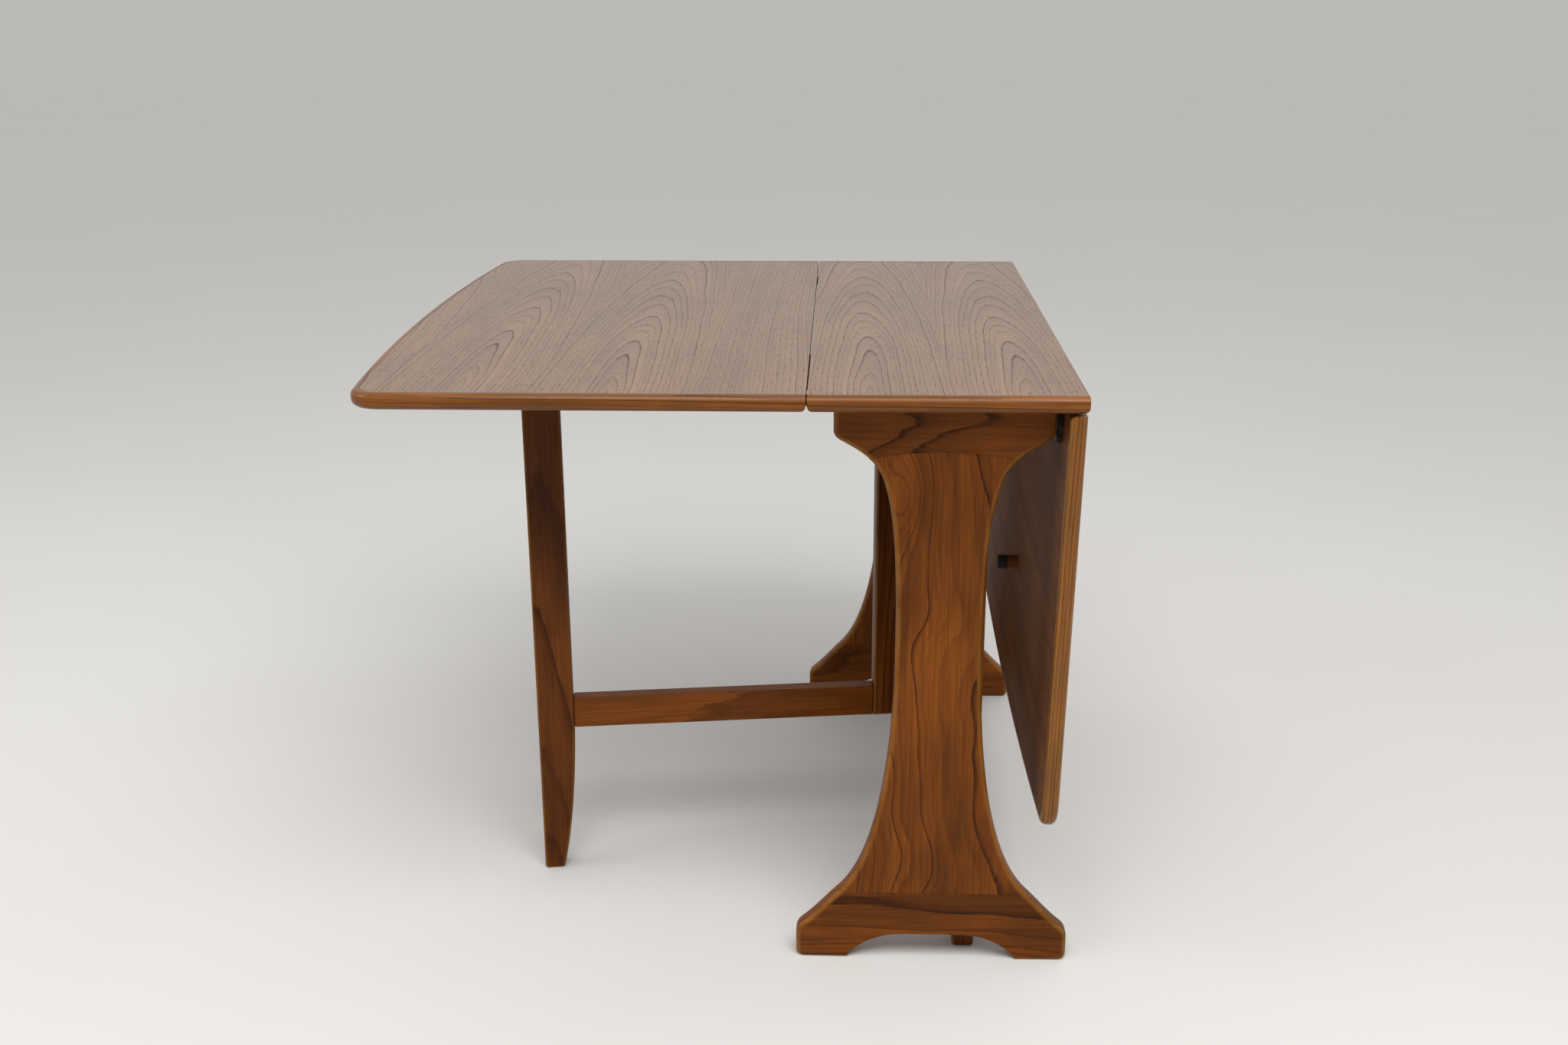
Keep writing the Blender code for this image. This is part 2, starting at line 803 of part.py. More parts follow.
materials = {
    "veneer": make_material("teak_veneer", (0.30, 0.155, 0.085), 0.38),
    "lipping": make_material("teak_lipping", (0.31, 0.12, 0.045), 0.36),
    "rail_wood": make_material("teak_rail", (0.23, 0.085, 0.028), 0.40),
    "post_wood": make_material("teak_post", (0.25, 0.095, 0.032), 0.40),
    "leg_wood": make_material("teak_leg", (0.21, 0.075, 0.025), 0.42),
    "peg_wood": make_material("peg_beech", (0.42, 0.25, 0.12), 0.55),
    "rubber": make_material("black_rubber", (0.015, 0.015, 0.016), 0.70),
    "hinge_metal": make_material("dark_hinge_metal", (0.06, 0.052, 0.045), 0.45, 0.9),
    "brass": make_material("screw_brass", (0.60, 0.42, 0.16), 0.35, 1.0),
    "cutter": make_material("cutting_body", (0.5, 0.5, 0.5), 0.5),
}

table_root = make_empty("table_root", (centre_offset, 0.0, 0.0))
left_leaf_pivot = make_empty("left_leaf_pivot", (-pivot_x, 0.0, pivot_z), turn_z=180, parent=table_root)
right_leaf_pivot = make_empty(
    "right_leaf_pivot",
    (pivot_x, 0.0, pivot_z),
    turn_y=90 + right_leaf_lean,
    parent=table_root,
)
left_gate_closed = make_empty(
    "left_gate_closed",
    (-gate_pivot_x, -gate_pivot_y, 0.0),
    turn_z=90,
    parent=table_root,
)
right_gate_closed = make_empty(
    "right_gate_closed",
    (gate_pivot_x, gate_pivot_y, 0.0),
    turn_z=-90,
    parent=table_root,
)
left_gate_pivot = make_empty("left_gate_pivot", (0.0, 0.0, 0.0), turn_z=gate_open_angle, parent=left_gate_closed)
right_gate_pivot = make_empty("right_gate_pivot", (0.0, 0.0, 0.0), parent=right_gate_closed)

build_centre(table_root)
for panel_end, panel_side in (("front", -1), ("rear", 1)):
    build_panel(panel_end, panel_side, table_root)

cleats = [bpy.data.objects["front_panel_cleat"], bpy.data.objects["rear_panel_cleat"]]
posts = [bpy.data.objects["front_panel_post"], bpy.data.objects["rear_panel_post"]]
build_spine(table_root, "spine_rail", spine_bottom, underside - gap - spine_bottom, cleats)
build_spine(table_root, "lower_stretcher", stretcher_bottom, stretcher_height, posts)

# The left peg stands just beyond the open gate's leg, which rests against it
open_turn = math.radians(90 + gate_open_angle)
peg_across = gate_thickness + gap + peg_radius
peg_world_x = -gate_pivot_x + left_peg_along_gate * math.cos(open_turn) - peg_across * math.sin(open_turn)
peg_world_y = -gate_pivot_y + left_peg_along_gate * math.sin(open_turn) + peg_across * math.cos(open_turn)
left_peg_place = (-(peg_world_x + pivot_x), -peg_world_y)
right_peg_place = (leaf_edge + right_peg_reach, right_peg_y)
build_leaf("left", left_leaf_pivot, left_peg_place)
build_leaf("right", right_leaf_pivot, right_peg_place)

for gate_side, closed_frame, gate_pivot in (
    ("left", left_gate_closed, left_gate_pivot),
    ("right", right_gate_closed, right_gate_pivot),
):
    build_gate(gate_side, gate_pivot)
    for hinge_level, hinge_bottom in (("lower", lower_hinge_bottom), ("upper", upper_hinge_bottom)):
        build_gate_hinge(gate_side, hinge_level, hinge_bottom, closed_frame, gate_pivot)
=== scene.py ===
# Drop leaf table in teak: a narrow centre top on two shaped end panels,
# the left leaf held up by its open gate and the right leaf hanging down.
import json
import math

import bmesh
import bpy
from mathutils import Matrix, Vector


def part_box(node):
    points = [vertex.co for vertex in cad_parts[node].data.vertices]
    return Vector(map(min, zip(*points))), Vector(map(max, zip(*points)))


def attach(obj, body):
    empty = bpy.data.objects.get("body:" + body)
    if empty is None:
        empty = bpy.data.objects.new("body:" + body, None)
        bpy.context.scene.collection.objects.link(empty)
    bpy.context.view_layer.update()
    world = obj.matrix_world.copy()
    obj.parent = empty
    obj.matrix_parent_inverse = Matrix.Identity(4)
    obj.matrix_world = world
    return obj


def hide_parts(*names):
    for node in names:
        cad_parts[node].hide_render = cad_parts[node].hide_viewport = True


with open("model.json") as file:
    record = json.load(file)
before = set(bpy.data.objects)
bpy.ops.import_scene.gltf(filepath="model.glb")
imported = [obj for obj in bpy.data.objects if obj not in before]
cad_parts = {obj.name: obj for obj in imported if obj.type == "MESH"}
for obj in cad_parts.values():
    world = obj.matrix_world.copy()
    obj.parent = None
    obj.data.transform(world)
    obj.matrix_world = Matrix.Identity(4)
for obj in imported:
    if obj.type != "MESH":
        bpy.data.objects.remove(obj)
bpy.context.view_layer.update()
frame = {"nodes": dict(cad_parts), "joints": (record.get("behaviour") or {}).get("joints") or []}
print("frame loaded:", len(frame["nodes"]), "parts")

jointOf = {joint["name"]: joint for joint in frame["joints"]}
scene = bpy.context.scene


# Sizes and places read from the frame

def span(node):
    low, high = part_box(node)
    return high - low


centreLow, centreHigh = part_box("centre_board")
leafLow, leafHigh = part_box("left_leaf_lipping")
tableMiddle = (centreLow.x + centreHigh.x) / 2
topHeight = centreHigh.z
underside = centreLow.z
boardThickness = topHeight - underside
halfCentre = (centreHigh.x - centreLow.x) / 2
halfDepth = -leafLow.y
lippingWidth = span("centre_lipping_front").y
gap = 0.0003
touching = 1e-5

leafPivot = {side: Vector(jointOf[side + "_leaf_hinge"]["pos_m"]) for side in ("left", "right")}
hangAngle = jointOf["right_leaf_hinge"]["range_deg"][1]
openAngle = jointOf["left_gate_hinge"]["range_deg"][1]
leafEdge = leafPivot["left"].x - leafHigh.x
leafOuter = leafPivot["left"].x - leafLow.x
leafTop = topHeight - leafPivot["left"].z
leafUnder = leafTop - boardThickness

rootPlace = Matrix.Translation((tableMiddle, 0.0, 0.0))
leafPlace = {
    "left": Matrix.Translation(leafPivot["left"]) @ Matrix.Rotation(math.pi, 4, "Z"),
    "right": Matrix.Translation(leafPivot["right"]) @ Matrix.Rotation(math.radians(hangAngle), 4, "Y"),
}
gatePlace = {}
for gateSide, gateTurn in (("left", 90 + openAngle), ("right", -90)):
    gatePivot = Vector(jointOf[gateSide + "_gate_hinge"]["pos_m"])
    gateTurned = Matrix.Rotation(math.radians(gateTurn), 4, "Z")
    gatePlace[gateSide] = Matrix.Translation((gatePivot.x, gatePivot.y, 0.0)) @ gateTurned


# Outlines

def arc(centre, radius, start, end, steps):
    points = []
    for i in range(steps + 1):
        angle = math.radians(start + (end - start) * i / steps)
        points.append((centre[0] + radius * math.cos(angle), centre[1] + radius * math.sin(angle)))
    return points


def bezier(start, handleA, handleB, end, steps):
    points = []
    for i in range(steps + 1):
        t = i / steps
        weights = ((1 - t) ** 3, 3 * (1 - t) ** 2 * t, 3 * (1 - t) * t ** 2, t ** 3)
        corners = (start, handleA, handleB, end)
        points.append(tuple(sum(w * p[k] for w, p in zip(weights, corners)) for k in (0, 1)))
    return points


def polar(point, length, angle):
    turn = math.radians(angle)
    return (point[0] + length * math.cos(turn), point[1] + length * math.sin(turn))


def mirrored(points):
    return [(-u, w) for u, w in reversed(points)]


def xzPoint(u, w, depth):
    return Vector((u, depth, w))


def xyPoint(u, w, depth):
    return Vector((u, w, depth))


# Solids

def prism(outline, start, end, place):
    bm = bmesh.new()
    low = [bm.verts.new(place(u, w, start)) for u, w in outline]
    high = [bm.verts.new(place(u, w, end)) for u, w in outline]
    bm.faces.new(low)
    bm.faces.new(list(reversed(high)))
    for i in range(len(outline)):
        j = (i + 1) % len(outline)
        bm.faces.new((low[j], low[i], high[i], high[j]))
    return bm


def box(low, high):
    outline = [(low[0], low[1]), (high[0], low[1]), (high[0], high[1]), (low[0], high[1])]
    return prism(outline, low[2], high[2], xyPoint)


def softBox(low, high, radius, steps):
    bm = box(low, high)
    bmesh.ops.recalc_face_normals(bm, faces=bm.faces)
    bmesh.ops.bevel(
        bm, geom=list(bm.edges), offset=radius, segments=steps, profile=0.5, affect="EDGES"
    )
    return bm


def lathe(profile, segments):
    bm = bmesh.new()
    rings = []
    for radius, height in profile:
        if radius == 0.0:
            rings.append([bm.verts.new((0.0, 0.0, height))])
            continue
        ring = []
        for i in range(segments):
            angle = 2 * math.pi * (i + 0.5) / segments
            ring.append(bm.verts.new((radius * math.cos(angle), radius * math.sin(angle), height)))
        rings.append(ring)
    for ring, other in zip(rings, rings[1:]):
        for i in range(segments):
            j = (i + 1) % segments
            if len(ring) == 1:
                bm.faces.new((ring[0], other[i], other[j]))
            elif len(other) == 1:
                bm.faces.new((ring[j], ring[i], other[0]))
            else:
                bm.faces.new((ring[j], ring[i], other[i], other[j]))
    return bm


def loft(pathAt, profile):
    bm = bmesh.new()
    strips = []
    for inset, height in profile:
        strips.append([bm.verts.new((x, y, height)) for x, y in pathAt(inset)])
    for i, strip in enumerate(strips):
        other = strips[(i + 1) % len(strips)]
        for k in range(len(strip) - 1):
            bm.faces.new((strip[k], strip[k + 1], other[k + 1], other[k]))
    bm.faces.new([strip[0] for strip in strips])
    bm.faces.new([strip[-1] for strip in reversed(strips)])
    return bm


def inwardMiters(outline):
    # Offset at each corner that sets both its sides in by one unit, for a clockwise outline
    miters = []
    for i in range(len(outline)):
        here = Vector(outline[i])
        before = (here - Vector(outline[i - 1])).normalized()
        after = (Vector(outline[(i + 1) % len(outline)]) - here).normalized()
        first = Vector((before.y, -before.x))
        second = Vector((after.y, -after.x))
        miters.append((first + second) / (1.0 + first.dot(second)))
    return miters


def roundedPrism(outline, offsets, low, high, radius, steps):
    front = arc((radius, low + radius), radius, 270, 180, steps)
    back = arc((radius, high - radius), radius, 180, 90, steps)
    bm = bmesh.new()
    rings = []
    for inset, depth in front + back:
        ring = []
        for point, offset in zip(outline, offsets):
            u = point[0] + inset * offset[0]
            w = point[1] + inset * offset[1]
            ring.append(bm.verts.new((u, depth, w)))
        rings.append(ring)
    for ring, other in zip(rings, rings[1:]):
        for i in range(len(outline)):
            j = (i + 1) % len(outline)
            bm.faces.new((ring[j], ring[i], other[i], other[j]))
    bm.faces.new(rings[0])
    bm.faces.new(list(reversed(rings[-1])))
    return bm


def asMesh(bm, name):
    bmesh.ops.recalc_face_normals(bm, faces=bm.faces)
    mesh = bpy.data.meshes.new(name)
    bm.to_mesh(mesh)
    bm.free()
    return mesh


def carve(bm, cutters):
    # cutters holds (operation, body) pairs, done one after the other
    item = bpy.data.objects.new("blank", asMesh(bm, "blank"))
    scene.collection.objects.link(item)
    helpers = []
    for operation, body in cutters:
        helper = bpy.data.objects.new("cutter", asMesh(body, "cutter"))
        scene.collection.objects.link(helper)
        modifier = item.modifiers.new("cut", "BOOLEAN")
        modifier.operation = operation
        modifier.solver = "EXACT"
        modifier.object = helper
        helpers.append(helper)
    graph = bpy.context.evaluated_depsgraph_get()
    mesh = bpy.data.meshes.new_from_object(item.evaluated_get(graph))
    for done in helpers + [item]:
        old = done.data
        bpy.data.objects.remove(done)
        bpy.data.meshes.remove(old)
    made = bmesh.new()
    made.from_mesh(mesh)
    bpy.data.meshes.remove(mesh)
    return made


def timber(axes, shift):
    # Grain place of a point: axes names its way along, across and into the timber
    order = ["xyz".index(axis) for axis in axes]

    def grainAt(point, facing):
        return Vector([point[axis] + move for axis, move in zip(order, shift)])

    return grainAt


def arrisAt(axis, low, high, radius):
    # 1 on the crest of a rounded arris, 0 where it meets the faces
    index = "xyz".index(axis)

    def shareAt(point):
        reach = min(point[index] - low, high - point[index])
        if reach <= 0.0 or reach >= radius:
            return 0.0
        return math.sin(2 * math.acos(1 - reach / radius))

    return shareAt


finishing = {"smoothAngle": 30, "evenWeight": 80, "underFace": -0.5}


def finishPiece(name, bm, place, body, slot, node, material=None, grain=None, arris=None, backing=None):
    # grain gives the timber place of a corner, arris how far a point is up a rounded edge
    mesh = asMesh(bm, name)
    if grain:
        layer = mesh.attributes.new("grain", "FLOAT_VECTOR", "CORNER")
        for polygon in mesh.polygons:
            facing = (polygon.center, polygon.normal)
            for loop in polygon.loop_indices:
                point = mesh.vertices[mesh.loops[loop].vertex_index].co
                layer.data[loop].vector = grain(point, facing)
    if arris:
        crest = mesh.attributes.new("arris", "FLOAT", "POINT")
        for vertex in mesh.vertices:
            crest.data[vertex.index].value = arris(vertex.co)
    mesh.materials.append(material or finish[slot])
    if backing:
        mesh.materials.append(backing)
        for polygon in mesh.polygons:
            if polygon.normal.z < finishing["underFace"]:
                polygon.material_index = 1
    mesh.shade_smooth()
    mesh.set_sharp_from_angle(angle=math.radians(finishing["smoothAngle"]))
    piece = bpy.data.objects.new(name, mesh)
    scene.collection.objects.link(piece)
    piece.matrix_world = place
    weighted = piece.modifiers.new("evenShading", "WEIGHTED_NORMAL")
    weighted.keep_sharp = True
    weighted.weight = finishing["evenWeight"]
    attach(piece, body)
    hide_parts(node)
    return piece


# Node helpers

def put(tree, kind, inputs=None, **settings):
    made = tree.nodes.new(kind)
    for key, value in settings.items():
        setattr(made, key, value)
    for key, value in (inputs or {}).items():
        if isinstance(value, bpy.types.NodeSocket):
            tree.links.new(value, made.inputs[key])
        else:
            made.inputs[key].default_value = value
    return made


def calc(tree, operation, first, second=0.0, third=0.0):
    made = put(tree, "ShaderNodeMath", {0: first, 1: second, 2: third}, operation=operation)
    return made.outputs[0]


def between(tree, value, low, high, start=0.0, end=1.0):
    made = put(
        tree,
        "ShaderNodeMapRange",
        {"Value": value, "From Min": low, "From Max": high, "To Min": start, "To Max": end},
        interpolation_type="SMOOTHSTEP",
    )
    return made.outputs["Result"]


def mixColour(tree, share, first, second):
    made = put(tree, "ShaderNodeMix", {0: share, 6: first, 7: second}, data_type="RGBA")
    return made.outputs[2]


def product(tree, first, *rest):
    for value in rest:
        first = calc(tree, "MULTIPLY", first, value)
    return first


def stretchOf(tree, along, across):
    return put(tree, "ShaderNodeCombineXYZ", {0: along, 1: across, 2: across}).outputs[0]


def noise(tree, vector, stretch, detail=2.0, roughness=0.5):
    mapped = put(tree, "ShaderNodeMapping", {"Vector": vector, "Scale": stretch}).outputs[0]
    values = {"Vector": mapped, "Scale": 1.0, "Detail": detail, "Roughness": roughness}
    return put(tree, "ShaderNodeTexNoise", values).outputs


def startGroup(name, inputs, outputs):
    tree = bpy.data.node_groups.new(name, "ShaderNodeTree")
    for label, default in inputs.items():
        kind = "NodeSocketVector" if isinstance(default, tuple) else "NodeSocketFloat"
        socket = tree.interface.new_socket(label, in_out="INPUT", socket_type=kind)
        socket.default_value = default
    for label in outputs:
        tree.interface.new_socket(label, in_out="OUTPUT", socket_type="NodeSocketFloat")
    given = tree.nodes.new("NodeGroupInput").outputs
    result = tree.nodes.new("NodeGroupOutput").inputs
    return tree, given, result


def useGroup(tree, group, **values):
    made = tree.nodes.new("ShaderNodeGroup")
    made.node_tree = group
    for label, value in values.items():
        name = label[0].upper() + label[1:]
        if isinstance(value, bpy.types.NodeSocket):
            tree.links.new(value, made.inputs[name])
        else:
            made.inputs[name].default_value = value
    return made.outputs


# Shader groups

ringShape = {
    "swayDetail": 2.0,
    "knotSqueeze": (0.45, 1.0, 0.0),
    "rippleRate": (9.0, 85.0, 85.0),
    "paceRate": 42.0,
    "latewood": 0.93,
    "darkening": 1.6,
}


def growthRings():
    # Rings as the distance from a leaning pith, swayed, rippled and unevenly wide
    tree, given, result = startGroup(
        "growthRings",
        {
            "Place": (0.0, 0.0, 0.0),
            "RingWidth": 0.006,
            "PithAcross": 0.0,
            "PithDepth": 0.0,
            "Tilt": 0.08,
            "Sway": 0.012,
            "SwayAlong": 1.7,
            "SwayAcross": 7.0,
            "Ripple": 0.3,
            "Uneven": 2.0,
            "Knot": (0.0, 0.0, 0.0),
            "KnotSize": 0.0,
            "LineStart": 0.72,
        },
        ("Tone", "Line", "Season"),
    )
    place = given["Place"]
    split = put(tree, "ShaderNodeSeparateXYZ", {0: place}).outputs
    rates = stretchOf(tree, given["SwayAlong"], given["SwayAcross"])
    slow = noise(tree, place, rates, detail=ringShape["swayDetail"])["Color"]
    swings = put(tree, "ShaderNodeSeparateColor", {0: slow}).outputs
    swayAcross = product(tree, calc(tree, "SUBTRACT", swings[0], 0.5), given["Sway"])
    swayDepth = product(tree, calc(tree, "SUBTRACT", swings[1], 0.5), given["Sway"])
    across = calc(tree, "ADD", calc(tree, "SUBTRACT", split[1], given["PithAcross"]), swayAcross)
    lean = calc(tree, "MULTIPLY_ADD", split[0], given["Tilt"], swayDepth)
    depth = calc(tree, "ADD", calc(tree, "SUBTRACT", split[2], given["PithDepth"]), lean)
    square = calc(tree, "MULTIPLY_ADD", across, across, product(tree, depth, depth))
    radius = calc(tree, "SQRT", square)

    # The rings bulge round a knot
    toKnot = put(tree, "ShaderNodeVectorMath", {0: place, 1: given["Knot"]}, operation="SUBTRACT")
    squeezed = put(
        tree,
        "ShaderNodeVectorMath",
        {0: toKnot.outputs[0], 1: ringShape["knotSqueeze"]},
        operation="MULTIPLY",
    ).outputs[0]
    distance = put(tree, "ShaderNodeVectorMath", {0: squeezed}, operation="LENGTH").outputs["Value"]
    share = calc(tree, "DIVIDE", distance, given["KnotSize"])
    swell = calc(tree, "EXPONENT", product(tree, share, share, -1.0))
    radius = calc(tree, "MULTIPLY_ADD", swell, given["KnotSize"], radius)

    fine = noise(tree, place, ringShape["rippleRate"], detail=3.0, roughness=0.6)["Fac"]
    rippled = product(tree, calc(tree, "SUBTRACT", fine, 0.5), given["Ripple"])
    years = calc(tree, "ADD", calc(tree, "DIVIDE", radius, given["RingWidth"]), rippled)
    pace = put(
        tree,
        "ShaderNodeTexNoise",
        {"W": product(tree, radius, ringShape["paceRate"]), "Scale": 1.0, "Detail": 1.0},
        noise_dimensions="1D",
    ).outputs["Fac"]
    years = calc(tree, "MULTIPLY_ADD", calc(tree, "SUBTRACT", pace, 0.5), given["Uneven"], years)

    # Tone and line rise through the year and fall off quickly at its end
    part = calc(tree, "FRACT", years)
    late = ringShape["latewood"]
    rise = calc(tree, "POWER", between(tree, part, 0.0, late), ringShape["darkening"])
    fall = between(tree, part, late, 1.0, 1.0, 0.0)
    lineRise = between(tree, part, given["LineStart"], late)
    year = put(tree, "ShaderNodeTexWhiteNoise", {"W": calc(tree, "FLOOR", years)}, noise_dimensions="1D")
    tree.links.new(product(tree, rise, fall), result["Tone"])
    tree.links.new(product(tree, lineRise, fall), result["Line"])
    tree.links.new(year.outputs["Value"], result["Season"])
    return tree


poreShape = {"threshold": 0.74, "perAmount": -0.2, "softness": 0.07}


def openPores():
    tree, given, result = startGroup(
        "openPores",
        {"Place": (0.0, 0.0, 0.0), "Length": 0.006, "Width": 0.0004, "Amount": 0.5},
        ("Mask",),
    )
    long = calc(tree, "DIVIDE", 1.0, given["Length"])
    wide = calc(tree, "DIVIDE", 1.0, given["Width"])
    dots = noise(tree, given["Place"], stretchOf(tree, long, wide), detail=1.0)["Fac"]
    start = calc(tree, "MULTIPLY_ADD", given["Amount"], poreShape["perAmount"], poreShape["threshold"])
    end = calc(tree, "ADD", start, poreShape["softness"])
    tree.links.new(between(tree, dots, start, end), result["Mask"])
    return tree


fibreShape = {"lengthShare": 0.035, "cloudRate": (4.0, 13.0, 13.0)}


def fibreStreaks():
    tree, given, result = startGroup(
        "fibreStreaks", {"Place": (0.0, 0.0, 0.0), "Width": 0.003}, ("Streak", "Cloud")
    )
    wide = calc(tree, "DIVIDE", 1.0, given["Width"])
    stretch = stretchOf(tree, product(tree, wide, fibreShape["lengthShare"]), wide)
    streak = noise(tree, given["Place"], stretch, detail=4.0, roughness=0.62)["Fac"]
    cloud = noise(tree, given["Place"], fibreShape["cloudRate"], detail=3.0, roughness=0.55)["Fac"]
    tree.links.new(streak, result["Streak"])
    tree.links.new(cloud, result["Cloud"])
    return tree


# Arris mask for a lighter gold on the rounded edges: partly real rubbed finish, partly a painted highlight
# along the crests
arrisWearAndSheen = {"patchRate": (22.0, 60.0, 60.0), "patchLow": 0.25, "patchHigh": 0.65, "least": 0.45}


def rubbedAndSheenArris():
    tree, given, result = startGroup(
        "rubbedAndSheenArris", {"Place": (0.0, 0.0, 0.0), "Amount": 0.5}, ("Mask",)
    )
    crest = put(tree, "ShaderNodeAttribute", attribute_name="arris").outputs["Fac"]
    patchy = noise(tree, given["Place"], arrisWearAndSheen["patchRate"], detail=3.0)["Fac"]
    broken = between(tree, patchy, arrisWearAndSheen["patchLow"], arrisWearAndSheen["patchHigh"], arrisWearAndSheen["least"], 1.0)
    tree.links.new(product(tree, crest, broken, given["Amount"]), result["Mask"])
    return tree


groups = {
    "rings": growthRings(),
    "pores": openPores(),
    "fibres": fibreStreaks(),
    "arris": rubbedAndSheenArris(),
}
print("shader groups:", len(groups))


# Woods

def startMaterial(name):
    material = bpy.data.materials.new(name)
    material.use_nodes = True
    tree = material.node_tree
    return material, tree, tree.nodes["Principled BSDF"].inputs


def colour(red, green, blue):
    return (red, green, blue, 1.0)


def addBump(tree, shader, strength, distance, height):
    values = {"Strength": strength, "Distance": distance, "Height": height}
    tree.links.new(put(tree, "ShaderNodeBump", values).outputs[0], shader["Normal"])


woodShape = {
    "cloudSpan": (0.3, 0.7),
    "streakSpan": (0.25, 0.75),
    "lineBreaks": (0.3, 0.62, 0.25, 1.0),
    "boldYears": (0.45, 0.7),
    "roughSpan": (0.2, 0.8),
    "roughLess": 0.05,
    "roughMore": 0.07,
    "poreRoughness": 0.22,
    "rubbedRoughness": -0.08,
    "fibreRelief": 0.5,
    "poreRelief": -1.0,
    "lineRelief": -0.5,
    "reliefDepth": 0.0005,
    "barePores": 0.9,
}


def makeTeak(name, look):
    material, tree, shader = startMaterial(name)
    shape = woodShape
    place = put(tree, "ShaderNodeAttribute", attribute_name="grain").outputs["Vector"]
    rings = useGroup(tree, groups["rings"], place=place, **look["rings"])
    pores = useGroup(tree, groups["pores"], place=place, **look["pores"])["Mask"]
    fibres = useGroup(tree, groups["fibres"], place=place, width=look["fibreWidth"])
    wornAndSheen = useGroup(tree, groups["arris"], place=place, amount=look["wearAndSheen"])["Mask"]
    streak = fibres["Streak"]

    paint = mixColour(tree, product(tree, rings["Tone"], look["tone"]), look["light"], look["dark"])
    paint = mixColour(tree, product(tree, rings["Season"], look["season"]), paint, look["dark"])
    cloudy = between(tree, fibres["Cloud"], *shape["cloudSpan"], 1.0 - look["cloud"], 1.0 + look["cloud"])
    streaky = between(tree, streak, *shape["streakSpan"], 1.0 - look["streak"], 1.0 + look["streak"])
    shaded = {"Color": paint, "Value": product(tree, cloudy, streaky)}
    paint = put(tree, "ShaderNodeHueSaturation", shaded).outputs[0]
    broken = between(tree, streak, *shape["lineBreaks"])
    strong = between(tree, rings["Season"], *shape["boldYears"], look["faintLines"], 1.0)
    lined = product(tree, rings["Line"], broken, look["line"], strong)
    paint = mixColour(tree, lined, paint, look["lineColour"])
    poreRoom = calc(tree, "MULTIPLY_ADD", rings["Line"], 1.0 - look["strayPores"], look["strayPores"])
    pitted = product(tree, pores, poreRoom)
    paint = mixColour(tree, product(tree, pitted, look["poreDepth"]), paint, look["lineColour"])
    # Lighter gold on the arris crests: partly rubbed finish, partly painted highlight
    paint = mixColour(tree, wornAndSheen, paint, look["goldenWearAndSheen"])
    tree.links.new(paint, shader["Base Color"])

    smoothest = look["roughness"] - shape["roughLess"]
    roughest = look["roughness"] + shape["roughMore"]
    rough = between(tree, streak, *shape["roughSpan"], smoothest, roughest)
    rough = calc(tree, "MULTIPLY_ADD", pitted, shape["poreRoughness"], rough)
    rough = calc(tree, "MULTIPLY_ADD", wornAndSheen, shape["rubbedRoughness"], rough)
    tree.links.new(rough, shader["Roughness"])

    fibreRelief = product(tree, streak, shape["fibreRelief"])
    relief = calc(tree, "MULTIPLY_ADD", pitted, shape["poreRelief"], fibreRelief)
    relief = calc(tree, "MULTIPLY_ADD", lined, shape["lineRelief"], relief)
    addBump(tree, shader, look["bump"], shape["reliefDepth"], relief)

    # Lacquer doesn't fill the open pores
    bare = calc(tree, "MAXIMUM", pitted, lined)
    lacquer = calc(tree, "MULTIPLY_ADD", bare, -shape["barePores"] * look["coat"], look["coat"])
    tree.links.new(lacquer, shader["Coat Weight"])
    shader["Coat Roughness"].default_value = look["coatRoughness"]
    shader["Specular IOR Level"].default_value = look["specular"]
    return material


solidTeak = {
    "light": colour(0.175, 0.050, 0.0058),
    "dark": colour(0.085, 0.021, 0.0028),
    "lineColour": colour(0.026, 0.0065, 0.0022),
    # gold of the arris crests: rubbed finish and painted highlight
    "goldenWearAndSheen": colour(0.31, 0.130, 0.024),
    "rings": {
        "ringWidth": 0.0058,
        "pithDepth": 0.04,
        "tilt": 0.04,
        "sway": 0.05,
        "ripple": 0.5,
        "uneven": 2.4,
    },
    "pores": {"length": 0.011, "width": 0.0006, "amount": 0.55},
    "strayPores": 0.35,
    "fibreWidth": 0.004,
    "tone": 0.50,
    "season": 0.24,
    "cloud": 0.32,
    "streak": 0.24,
    "line": 0.85,
    "faintLines": 0.35,
    "poreDepth": 0.6,
    "wearAndSheen": 0.66,
    "roughness": 0.36,
    "bump": 0.25,
    "specular": 0.09,
    "coat": 0.03,
    "coatRoughness": 0.20,
}
postTeak = {
    **solidTeak,
    "rings": {
        "ringWidth": 0.0060,
        "pithAcross": 0.08,
        "pithDepth": 0.15,
        "tilt": 0.0,
        "sway": 0.070,
        "swayAlong": 3.6,
        "swayAcross": 3.0,
        "ripple": 0.5,
        "uneven": 3.4,
        "knot": (0.600, -0.041, 0.0),
        "knotSize": 0.020,
        "lineStart": 0.60,
    },
    "line": 1.0,
    "faintLines": 0.06,
    "tone": 0.30,
    "season": 0.35,
}
legTeak = {
    **solidTeak,
    "light": colour(0.132, 0.037, 0.0052),
    "dark": colour(0.065, 0.017, 0.0026),
    "rings": {**solidTeak["rings"], "ringWidth": 0.007, "sway": 0.03},
    "wearAndSheen": 0.5,
}
lippingTeak = {
    **solidTeak,
    "light": colour(0.185, 0.060, 0.0085),
    "dark": colour(0.095, 0.028, 0.0045),
    "rings": {**solidTeak["rings"], "ringWidth": 0.005, "sway": 0.012, "tilt": 0.01},
    "cloud": 0.25,
    "wearAndSheen": 0.18,
    "roughness": 0.30,
    "specular": 0.18,
    "coat": 0.15,
    "coatRoughness": 0.10,
}
